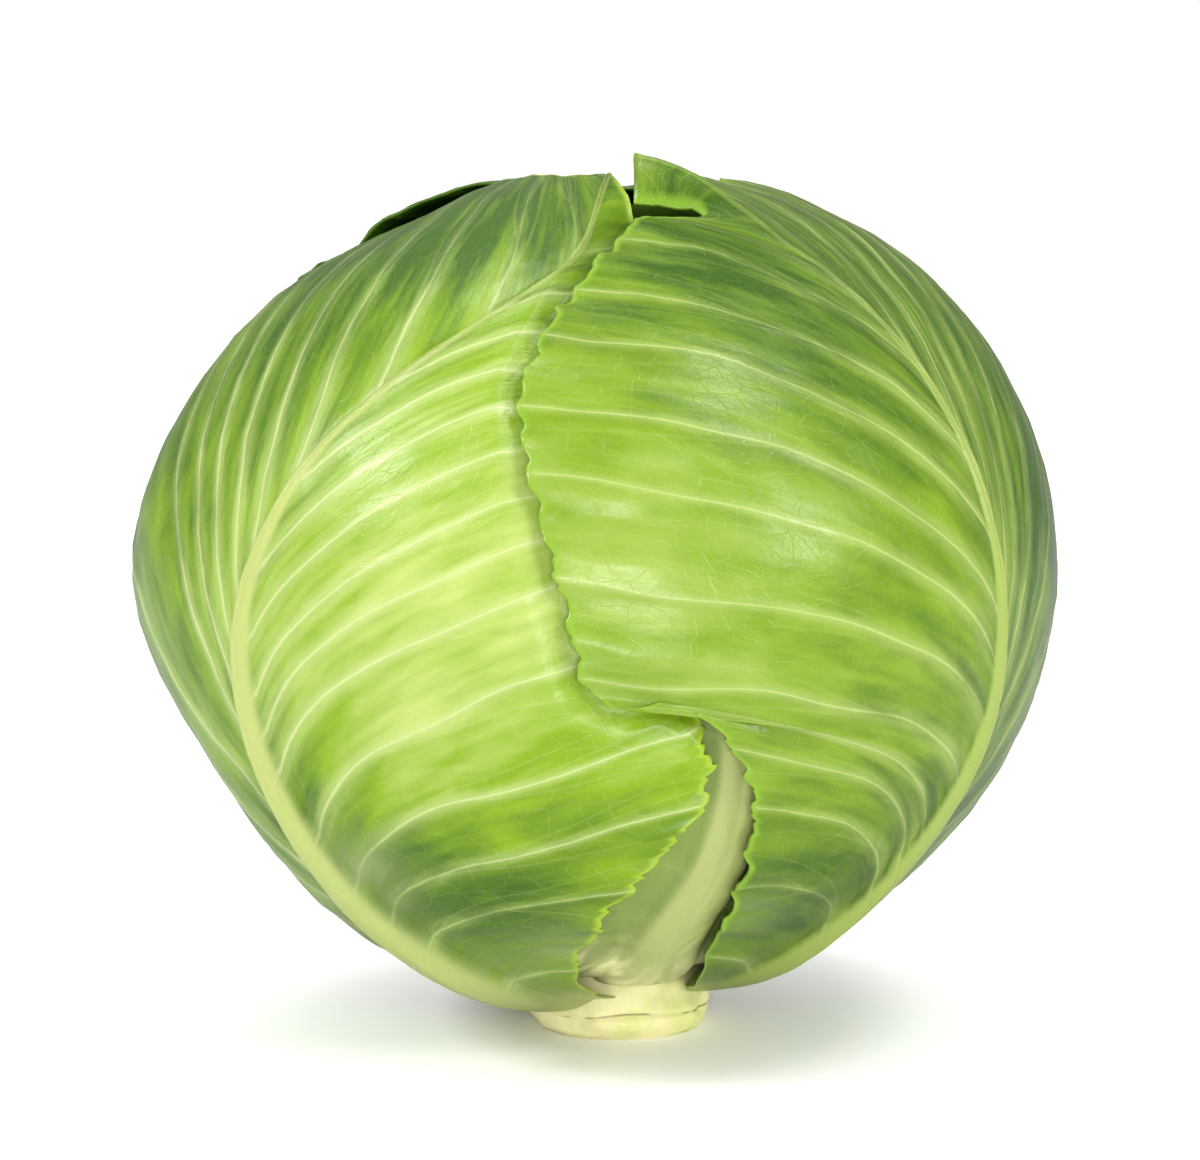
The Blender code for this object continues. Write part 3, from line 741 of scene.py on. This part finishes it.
# %% Vein masks
def make_vein_group():
    """The side veins and their twigs, by the same rule as in the mesh. Widths are in millimetres."""
    inputs = {"Vein": 0.0, "Across": 0.0, "Gap": 10.0, "Line at rib": 0.6, "Line at margin": 0.26,
              "Halo at rib": 3.2, "Halo at margin": 0.9}
    outputs = {"Line": "NodeSocketFloat", "Halo": "NodeSocketFloat", "Twig": "NodeSocketFloat"}
    group, given, out = new_group("side_veins", inputs, outputs)
    whole = calc(group, "FLOOR", given["Vein"])
    part = calc(group, "SUBTRACT", given["Vein"], whole)
    nearer = calc(group, "MINIMUM", part, calc(group, "SUBTRACT", 1.0, part))
    main = calc(group, "MULTIPLY", nearer, given["Gap"])
    across = given["Across"]
    line_width = step_between(group, across, 0.0, 1.0, given["Line at rib"], given["Line at margin"])
    halo_width = step_between(group, across, 0.0, 1.0, given["Halo at rib"], given["Halo at margin"])
    line = step_between(group, calc(group, "DIVIDE", main, line_width), 0.25, 1.0, 1.0, 0.0)
    group.links.new(line, out["Line"])
    spread = calc(group, "POWER", calc(group, "DIVIDE", main, halo_width), 2.0)
    group.links.new(calc(group, "EXPONENT", calc(group, "MULTIPLY", spread, -1.0)), out["Halo"])
    twigs = None
    for step, first, start, chance, reach in FORKS:
        turn = calc(group, "FRACT", calc(group, "ADD", calc(group, "MULTIPLY", whole, step), first))
        begins = calc(group, "ADD", calc(group, "MULTIPLY", turn, chance), start)
        rest = calc(group, "SUBTRACT", 1.0, begins)
        t = calc(group, "DIVIDE", calc(group, "SUBTRACT", across, begins), rest, clamp=True)
        away = calc(group, "MULTIPLY", calc(group, "POWER", t, TWIG_BEND), reach)
        centre = away if reach > 0 else calc(group, "ADD", away, 1.0)
        off_twig = calc(group, "ABSOLUTE", calc(group, "SUBTRACT", part, centre))
        distance = calc(group, "MULTIPLY", off_twig, given["Gap"])
        seen = calc(group, "GREATER_THAN", t, 0.0)
        width = step_between(group, t, 0.0, 1.0, 0.55, 0.25)
        twig = step_between(group, calc(group, "DIVIDE", distance, width), 0.25, 1.0, 1.0, 0.0)
        twig = calc(group, "MULTIPLY", twig, seen)
        twigs = twig if twigs is None else calc(group, "MAXIMUM", twigs, twig)
    group.links.new(twigs, out["Twig"])
    return group


def make_net_group():
    """The finest veins: a net of cells, drawn out along the side veins, with the skin's grain."""
    inputs = {"Sheet": (0.0, 0.0, 0.0), "Cells": 30.0, "Line": 0.03}
    outputs = {"Net": "NodeSocketFloat", "Height": "NodeSocketFloat", "Streaks": "NodeSocketFloat"}
    group, given, out = new_group("vein_net", inputs, outputs)
    bent = node(group, "ShaderNodeTexNoise", {"Vector": given["Sheet"], "Scale": 9.0, "Detail": 3.0})
    even = {0: bent.outputs["Color"], 1: (0.5, 0.5, 0.5)}
    away = node(group, "ShaderNodeVectorMath", even, operation="SUBTRACT")
    away = node(group, "ShaderNodeVectorMath", {0: away.outputs[0], "Scale": 0.07}, operation="SCALE")
    moved = node(group, "ShaderNodeVectorMath", {0: given["Sheet"], 1: away.outputs[0]}, operation="ADD")
    drawn = node(group, "ShaderNodeMapping", {"Vector": moved.outputs[0], "Scale": (0.55, 1.0, 1.0)})
    nets = []
    for size, width in ((1.0, 1.0), (2.3, 1.5)):
        cells = node(group, "ShaderNodeTexVoronoi", {
            "Vector": drawn.outputs[0], "Scale": calc(group, "MULTIPLY", given["Cells"], size),
        }, voronoi_dimensions="2D", feature="DISTANCE_TO_EDGE")
        wide = calc(group, "MULTIPLY", given["Line"], width)
        nets.append(step_between(group, cells.outputs["Distance"], 0.0, wide, 1.0, 0.0))
    net = calc(group, "MAXIMUM", nets[0], calc(group, "MULTIPLY", nets[1], 0.45))
    group.links.new(net, out["Net"])
    grain = node(group, "ShaderNodeTexNoise", {"Vector": drawn.outputs[0], "Scale": 60.0, "Detail": 4.0})
    raised = calc(group, "ADD", calc(group, "MULTIPLY", net, 0.35), grain.outputs[0])
    group.links.new(raised, out["Height"])
    long = node(group, "ShaderNodeMapping", {"Vector": given["Sheet"], "Scale": (0.16, 1.0, 1.0)})
    fine = node(group, "ShaderNodeTexNoise", {"Vector": long.outputs[0], "Scale": 30.0, "Detail": 5.0})
    wide = node(group, "ShaderNodeMapping", {"Vector": moved.outputs[0], "Scale": (0.35, 1.0, 1.0)})
    broad = node(group, "ShaderNodeTexNoise", {"Vector": wide.outputs[0], "Scale": 9.0, "Detail": 4.0})
    mixed = calc(group, "ADD", calc(group, "MULTIPLY", fine.outputs[0], 0.4),
                 calc(group, "MULTIPLY", broad.outputs[0], 0.6))
    group.links.new(mixed, out["Streaks"])
    return group


side_veins = make_vein_group()
vein_net = make_net_group()

# %% [markdown]
# ## Leaf green
# The green is mixed in layers, as a painter would: a fresh green, pale in some patches and deep in others.
# The patches are partly the leaf's own uneven green and partly painted light and shade: pale where a leaf
# faces the light, deep where it turns away at its far side, its top and its foot. Then come the pale halos
# and lines of the veins, fainter in the deep patches, the cream-green midrib, the grey bloom of wax near the
# foot, and the thin bright edge. Each leaf has its own values.

# %% Leaf paint
STREAK_STRENGTH = 3.0
NET_SHOWS = 0.12
TWIG_SHOWS = 0.1
HALO_SHOWS = 0.42
LINE_SHOWS = 0.75
LEAF_GREENS = {
    "Fresh": rgb(146, 188, 12), "Pale": rgb(206, 226, 122), "Deep": rgb(72, 114, 6),
    "Vein": rgb(222, 236, 160), "Rib": rgb(204, 218, 126), "Bloom": rgb(182, 200, 140),
    "Edge": rgb(184, 216, 60),
}


def make_paint_group():
    """A leaf's colour, layer on layer, and where its wax lies."""
    inputs = {"Shade": 0.0, "Streaks": 0.5, "Line": 0.0, "Halo": 0.0, "Twig": 0.0, "Net": 0.0, "Rib at": 0.0,
              "Bloom at": 0.0, "Edge mm": 50.0, "Along": 0.5, "Veins show": 1.0, **LEAF_GREENS}
    outputs = {"Color": "NodeSocketColor", "Wax": "NodeSocketFloat"}
    group, given, out = new_group("leaf_paint", inputs, outputs)
    uneven = calc(group, "MULTIPLY", calc(group, "SUBTRACT", given["Streaks"], 0.5), STREAK_STRENGTH)
    # Shade is the leaf's own tone and its painted light and shade together: below 0 the green turns pale,
    # above 0 deep.
    shade = calc(group, "ADD", given["Shade"], uneven)
    pale = calc(group, "MULTIPLY", shade, -1.0, clamp=True)
    deep = calc(group, "ADD", shade, 0.0, clamp=True)
    colour = blend(group, pale, given["Fresh"], given["Pale"])
    colour = blend(group, deep, colour, given["Deep"])
    colour = blend(group, calc(group, "MULTIPLY", given["Net"], NET_SHOWS), colour, given["Vein"])
    colour = blend(group, calc(group, "MULTIPLY", given["Twig"], TWIG_SHOWS), colour, given["Vein"])
    clear = step_between(group, given["Along"], 0.6, 0.95, 1.0, 0.3)
    clear = calc(group, "MULTIPLY", clear, given["Veins show"])
    # The veins fade where the green is deep, so also in the painted shade.
    clear = calc(group, "MULTIPLY", clear, step_between(group, deep, 0.1, 1.0, 1.0, 0.3))
    for mask, share in (("Halo", HALO_SHOWS), ("Line", LINE_SHOWS)):
        shown = calc(group, "MULTIPLY", calc(group, "MULTIPLY", given[mask], share), clear)
        colour = blend(group, shown, colour, given["Vein"])
    rib = step_between(group, given["Rib at"], 0.0, 0.35)
    rib = calc(group, "MULTIPLY", rib, step_between(group, given["Along"], 0.5, 0.9, 1.0, 0.35))
    rib = calc(group, "MAXIMUM", rib, step_between(group, given["Along"], 0.012, 0.04, 1.0, 0.0))
    colour = blend(group, rib, colour, given["Rib"])
    off_rib = calc(group, "SUBTRACT", 1.2, calc(group, "MULTIPLY", rib, 0.7))
    in_streaks = step_between(group, given["Streaks"], 0.4, 0.62, 0.3, 1.3)
    wax = calc(group, "MULTIPLY", given["Bloom at"], off_rib)
    wax = calc(group, "MULTIPLY", wax, in_streaks, clamp=True)
    colour = blend(group, wax, colour, given["Bloom"])
    edge = step_between(group, given["Edge mm"], 0.2, 1.4, 0.8, 0.0)
    colour = blend(group, edge, colour, given["Edge"])
    group.links.new(colour, out["Color"])
    group.links.new(wax, out["Wax"])
    return group


leaf_paint = make_paint_group()

# %% [markdown]
# The finish round that paint is a thin wax. It is a little rougher where the bloom lies and in the
# streaks, so the highlights break up, and the net of fine veins stands out in them through a small bump.

# %% Leaf finish
LEAF_ROUGHNESS = 0.29
ROUGHER_IN_BLOOM = 0.2
ROUGHER_IN_STREAKS = 0.12
LEAF_SPECULAR = 0.32
SKIN_BUMP = 0.25 * MM
PAINT_ATTRIBUTES = {  # input: attribute of the mesh
    "Shade": "shade", "Rib at": "rib", "Bloom at": "bloom", "Edge mm": "edge_mm", "Along": "along",
}


def leaf_material(name, greens):
    """A leaf's finish: the shared paint with this leaf's colours, under a thin wax."""
    material = bpy.data.materials.new(name)
    material.use_nodes = True
    tree = material.node_tree
    shader = tree.nodes["Principled BSDF"]
    sheet = node(tree, "ShaderNodeUVMap", uv_map="sheet").outputs[0]
    net = use_group(tree, vein_net, {"Sheet": sheet})
    lines = use_group(tree, side_veins, {
        "Vein": painted(tree, "vein"), "Across": painted(tree, "across"), "Gap": painted(tree, "gap_mm"),
    })
    masks = {key: painted(tree, attribute) for key, attribute in PAINT_ATTRIBUTES.items()}
    masks.update({key: lines[key] for key in ("Line", "Halo", "Twig")})
    masks.update({key: net[key] for key in ("Net", "Streaks")})
    paint = use_group(tree, leaf_paint, {**masks, **greens})
    tree.links.new(paint["Color"], shader.inputs["Base Color"])
    rough = calc(tree, "ADD", calc(tree, "MULTIPLY", paint["Wax"], ROUGHER_IN_BLOOM), LEAF_ROUGHNESS)
    streaks = calc(tree, "SUBTRACT", net["Streaks"], 0.5)
    rough = calc(tree, "ADD", rough, calc(tree, "MULTIPLY", streaks, ROUGHER_IN_STREAKS))
    tree.links.new(rough, shader.inputs["Roughness"])
    bump = node(tree, "ShaderNodeBump", {"Height": net["Height"], "Strength": 0.35, "Distance": SKIN_BUMP})
    tree.links.new(bump.outputs[0], shader.inputs["Normal"])
    shader.inputs["Specular IOR Level"].default_value = LEAF_SPECULAR
    return material


# %% [markdown]
# ## The wrapper leaves
# With the tools ready, each leaf takes one call: its curves, how fine it is, where it is deep or pale and
# where the wax lies, and its own greens. The fine leaf then stands for its plain node.

# %% Left leaf
QUADS = 46000
FRONT_QUADS = 16000


def dress(piece, cad_node, material):
    """Gives a fine piece its finish, and lets it stand for its node."""
    piece.data.materials.append(material)
    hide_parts(cad_node)
    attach(piece, "root")
    return piece


# Its pale spots in the middle are partly a painted highlight, and its deep spots at the far left, the top
# and the foot partly painted shade; the rest is the leaf's own uneven green.
left_leaf = make_leaf(
    "left_leaf", LEFT_LEAF, QUADS, 0.0,
    shades=(0.3, (0, 30, 30, -0.7), (-22, 0, 24, -0.8), (-95, 25, 42, 0.3), (-45, 66, 26, 0.8),
            (-5, 70, 12, -0.1), (-26, -38, 15, 0.8), (-45, -18, 12, 0.3), (0, -36, 18, 0.1)),
    blooms=(0.0, (-34, -50, 9, 0.15), (-36, -34, 7, 0.25), (-4, -50, 8, 0.25), (-38, -67, 10, 0.9)),
)
dress(left_leaf, "left_leaf", leaf_material("left_leaf_green", {"Bloom": rgb(196, 211, 146, 1.5)}))

# %% [markdown]
# The right leaf is a deeper and duller green, and its veins stand out less. It is darkest on its far side
# and at its top and foot, which is partly painted shade. It lies over the left leaf, and only the back leaf
# lies over it.

# %% Right leaf
# The pale spot in front is partly a painted highlight, and the deep spots at the far side, the top and the
# foot partly painted shade.
right_leaf = make_leaf(
    "right_leaf", RIGHT_LEAF, QUADS, 4.1,
    shades=(0.08, (0, 12, 24, -0.5), (25, 45, 16, 0.4), (86, 10, 30, 1.0), (60, 55, 24, 0.3),
            (40, 68, 26, 0.5), (-6, 4, 10, 0.2), (30, -45, 24, 0.5), (62, -32, 22, 0.5)),
    blooms=(0.0, (24, -42, 7, 0.2)),
)
dress(right_leaf, "right_leaf", leaf_material("right_leaf_green", {
    "Fresh": rgb(138, 176, 34), "Pale": rgb(182, 208, 96), "Deep": rgb(66, 106, 10),
    "Vein": rgb(198, 218, 128), "Rib": rgb(176, 198, 98), "Edge": rgb(150, 196, 50),
}))

# %% [markdown]
# Only the foot of this inner leaf shows. It grew in the shade of the others, so it is thick, pale and
# smooth: its veins are nearly hidden, and a cream bloom leads over to the stump. That bloom is painted
# bright, partly the foot's own cream and partly painted light in the shade between the leaves and the stump.
# Fewer cells do for it.

# %% Front leaf
front_leaf = make_leaf(
    "front_leaf", FRONT_LEAF, FRONT_QUADS, 8.3,
    shades=(-0.55,),
    # Bloom spots at the foot, in the bright cream given below: partly the foot's own cream, partly painted
    # light in the shade under the head.
    blooms=(0.05, (10, -69, 11, 0.9), (-14, -69, 12, 0.9), (32, -69, 10, 0.7)),
)
dress(front_leaf, "front_leaf", leaf_material("front_leaf_green", {
    "Veins show": 0.25,
    "Fresh": rgb(112, 148, 36), "Pale": rgb(146, 172, 80), "Vein": rgb(176, 196, 110),
    "Rib": rgb(192, 204, 122), "Bloom": rgb(240, 236, 176, 1.05),
}))

# %% [markdown]
# The back leaf is painted the darkest green, as painted shade: from the front only its margin shows, turned
# in and in shadow. It is made whole, because the head is seen from all sides.

# %% Back leaf
back_leaf = make_leaf(
    "back_leaf", BACK_LEAF, QUADS, 12.9,
    shades=(0.55, (-110, 55, 26, 0.4), (180, 10, 50, -0.25)),
    blooms=(0.0, (180, -58, 24, 0.5)),
)
dress(back_leaf, "back_leaf", leaf_material("back_leaf_green", {
    "Fresh": rgb(104, 150, 24), "Pale": rgb(150, 188, 66), "Deep": rgb(44, 80, 12),
    "Vein": rgb(168, 198, 90), "Rib": rgb(176, 200, 104), "Edge": rgb(100, 142, 40),
}))

# %% [markdown]
# ## The heart
# Under the wrapper leaves lies the firm heart, which shows only in the gaps at the crown and near the
# stump. It is made from a sphere primitive: each vertex gives a direction, and the edges of five leaves
# wind round it in low steps up to the crown. It is hollowed where the inner leaf in front lies on it.

# %% Heart
HEART_SHRINK = 8.0 * MM
HEART_HOLLOW = 3.6 * MM
HEART_FLOOR = 18.6 * MM
HEART_CROWN = (40, 84, 14)  # longitude, latitude and spread
HEART_CROWN_HEIGHT = 2.2
HEART_LEAVES = 5
HEART_STEP = 1.6 * MM
HEART_TWIST = 75.0


def make_heart():
    """The heart as an object, with the rise of its leaf edges painted on its vertices."""
    bpy.ops.object.select_all(action="DESELECT")
    bpy.ops.mesh.primitive_uv_sphere_add(segments=220, ring_count=140, radius=1.0)
    heart = bpy.context.object
    heart.name = "heart_fine"
    mesh = heart.data
    ways = np.empty(len(mesh.vertices) * 3, np.float32)
    mesh.vertices.foreach_get("co", ways)
    ways = unit(ways.reshape(-1, 3).astype(float))
    latitude = np.degrees(np.arcsin(np.clip(ways[:, 2], -1, 1)))
    longitude = np.degrees(np.arctan2(ways[:, 0], -ways[:, 1]))
    turn = (longitude - HEART_TWIST * smooth(10, 90, latitude)) * HEART_LEAVES / 360
    rise = np.mod(turn, 1.0)
    rise = rise * (1 - smooth(0.975, 1.0, rise))
    edges = smooth(-60, -20, latitude) * (1 - smooth(70, 88, latitude))
    under_front = np.minimum(inside(FRONT_LEAF, "left", ways), inside(FRONT_LEAF, "right", ways))
    height = HEART_STEP * (rise - 0.5) * edges - HEART_SHRINK
    height = height - HEART_HOLLOW * smooth(-14 * MM, -1 * MM, under_front)
    height = height + HEART_CROWN_HEIGHT * MM * hill(ways, *HEART_CROWN)
    points = on_head(ways, height)
    points[:, 2] = np.maximum(points[:, 2], HEART_FLOOR)
    mesh.vertices.foreach_set("co", points.astype(np.float32).ravel())
    mesh.update()
    store(mesh, "rise", rise)
    mesh.shade_smooth()
    print(f"heart: {len(mesh.polygons) * 2} triangles")
    return heart


def heart_material():
    """A deep, dull green in soft clouds, a little lighter along the leaf edges. Its darkness is painted
    shade, for the deep gaps where the heart shows.
    """
    material = bpy.data.materials.new("heart_green_in_painted_shade")
    material.use_nodes = True
    tree = material.node_tree
    shader = tree.nodes["Principled BSDF"]
    place = node(tree, "ShaderNodeTexCoord").outputs["Object"]
    clouds = node(tree, "ShaderNodeTexNoise", {"Vector": place, "Scale": 40.0, "Detail": 5.0}).outputs[0]
    # Dark greens, as painted shade for the gaps where the heart is seen.
    colour = blend(tree, clouds, rgb(60, 86, 22), rgb(34, 56, 10))
    edge = step_between(tree, painted(tree, "rise"), 0.86, 0.96)
    colour = blend(tree, calc(tree, "MULTIPLY", edge, 0.6), colour, rgb(84, 112, 34))
    tree.links.new(colour, shader.inputs["Base Color"])
    shader.inputs["Roughness"].default_value = 0.5
    shader.inputs["Specular IOR Level"].default_value = 0.0
    return material


dress(make_heart(), "heart", heart_material())

# %% [markdown]
# ## The stump
# The stem is cut straight through, so it has a flat face to stand on. It starts as a sphere primitive, and
# each of its rings is drawn out to one place of the stem's outline. Then it is made uneven: lumps where
# leaves grew out, a thin brown line of dry scar round it, and fine fibres that run up into the leaves.

# %% Stump
# Radius and height of its outline, in mm as all its values are
STUMP_RINGS = ((17.4, 0.0), (18.6, 1.0), (19.6, 2.6), (20.2, 4.4), (20.1, 6.0), (19.5, 8.2), (19.4, 12.4),
               (19.0, 14.4), (18.3, 17.2), (17.2, 17.9), (9.0, 18.0))
STUMP_UNEVEN = 0.035
STUMP_SIDES = 180
SCAR_HEIGHT = 5.2
SCAR_WIDTH = 0.55
SCAR_DEPTH = 0.45
LUMP_SIZES = (6.0, 2.6)
FOOT_HEIGHT = 12.6
FOOT_WIDTH = 1.5
FOOT_RISE = 1.1
FOOT_AT = (20, 25)  # longitude and half its reach, in degrees


def stump_outline():
    """The turned outline from the axis at the cut face to the axis at the top, in metres."""
    radii, heights = np.array(STUMP_RINGS).T
    along = np.arange(len(radii))
    fine = np.linspace(0, len(radii) - 1, 70)
    side = [(np.interp(t, along, radii), np.interp(t, along, heights)) for t in fine]
    cut = [(radius, 0.0) for radius in np.linspace(0.0, radii[0], 14)[:-1]]
    top = [(radius, heights[-1]) for radius in np.linspace(radii[-1], 0.0, 8)[1:]]
    return np.array(cut + side + top) * MM


def make_stump():
    """The stump as an object, with its scar painted on its vertices."""
    outline = stump_outline()
    rings = len(outline) - 1
    bpy.ops.object.select_all(action="DESELECT")
    bpy.ops.mesh.primitive_uv_sphere_add(segments=STUMP_SIDES, ring_count=rings, radius=1.0)
    stump = bpy.context.object
    stump.name = "stump_fine"
    mesh = stump.data
    ways = np.empty(len(mesh.vertices) * 3, np.float32)
    mesh.vertices.foreach_get("co", ways)
    ways = ways.reshape(-1, 3).astype(float)
    turn = np.arctan2(ways[:, 0], -ways[:, 1])
    ring = np.rint((np.arcsin(np.clip(ways[:, 2], -1, 1)) / math.pi + 0.5) * rings).astype(int)
    radius, height = outline[ring].T
    points = np.stack([radius * np.sin(turn), -radius * np.cos(turn), height], axis=-1)
    height = height / MM
    uneven = np.sin(3 * turn + 0.6) + 0.6 * np.sin(5 * turn + 2.0)
    on_side = smooth(0.5, 3.0, height) * (1 - smooth(4.0, 6.5, height))
    reach = 1 + STUMP_UNEVEN * uneven * on_side
    outer = smooth(12 * MM, 17 * MM, radius) * (1 - smooth(9.0, 14.0, height))
    scar_height = SCAR_HEIGHT + 0.7 * np.sin(2 * turn + 0.8) + 0.35 * np.sin(5 * turn + 1.0)
    collar = np.exp(-(((height - scar_height) / SCAR_WIDTH) ** 2))
    ribs = 0.25 * wander(np.stack([np.sin(turn) * 4, -np.cos(turn) * 4, height * 0.08], -1), 1.0, 2.0)
    large, small = LUMP_SIZES
    lumps = 0.7 * wander(points, large * MM, 5.0) + 0.3 * wander(points, small * MM, 8.0) + ribs
    rough = (lumps * smooth(0.0, 1.5, height) - SCAR_DEPTH * collar) * outer * MM
    in_front = np.exp(-(((np.degrees(turn) - FOOT_AT[0]) / FOOT_AT[1]) ** 4))
    foot = FOOT_RISE * np.exp(-(((height - FOOT_HEIGHT) / FOOT_WIDTH) ** 2)) * in_front
    foot = foot * (1 + wander(points, 3 * MM, 9.0))
    rough = rough + foot * MM
    points[:, :2] *= (reach + rough / np.maximum(radius, 1 * MM))[:, None]
    mesh.vertices.foreach_set("co", points.astype(np.float32).ravel())
    mesh.update()
    store(mesh, "scar", collar * outer)
    mesh.shade_smooth()
    mesh.set_sharp_from_angle(angle=math.radians(50))
    print(f"stump: {sum(len(face.vertices) - 2 for face in mesh.polygons)} triangles")
    return stump


def stump_material():
    """Cream flesh in soft clouds of green, with fine fibres and the broken brown scar. The cream is painted
    brighter than the head's colours, as painted light for the shade under the head.
    """
    material = bpy.data.materials.new("cut_stump")
    material.use_nodes = True
    tree = material.node_tree
    shader = tree.nodes["Principled BSDF"]
    place = node(tree, "ShaderNodeTexCoord").outputs["Object"]
    clouds = node(tree, "ShaderNodeTexNoise", {"Vector": place, "Scale": 90.0, "Detail": 6.0}).outputs[0]
    drawn = node(tree, "ShaderNodeMapping", {"Vector": place, "Scale": (1.0, 1.0, 0.12)}).outputs[0]
    fibres = node(tree, "ShaderNodeTexNoise", {"Vector": drawn, "Scale": 900.0, "Detail": 3.0}).outputs[0]
    green = step_between(tree, clouds, 0.42, 0.68)
    # The flesh's own cream, painted brighter by a small light value, as painted light in the head's shade.
    colour = blend(tree, green, rgb(250, 244, 188, 1.05), rgb(230, 234, 150, 1.05))
    colour = blend(tree, calc(tree, "MULTIPLY", fibres, 0.3), colour, rgb(232, 224, 160, 1.1))
    broken = node(tree, "ShaderNodeTexNoise", {"Vector": place, "Scale": 160.0, "Detail": 2.0}).outputs[0]
    scar = calc(tree, "MULTIPLY", step_between(tree, painted(tree, "scar"), 0.72, 0.98),
                step_between(tree, broken, 0.42, 0.56))
    colour = blend(tree, calc(tree, "MULTIPLY", scar, 0.75), colour, rgb(150, 112, 62))
    tree.links.new(colour, shader.inputs["Base Color"])
    shader.inputs["Roughness"].default_value = 0.5
    bump = node(tree, "ShaderNodeBump", {"Height": fibres, "Strength": 0.4, "Distance": 0.2 * MM})
    tree.links.new(bump.outputs[0], shader.inputs["Normal"])
    shader.inputs["Subsurface Weight"].default_value = 0.15
    shader.inputs["Subsurface Radius"].default_value = (1.0, 0.8, 0.4)
    shader.inputs["Subsurface Scale"].default_value = 3.0 * MM
    return material


dress(make_stump(), "stump", stump_material())
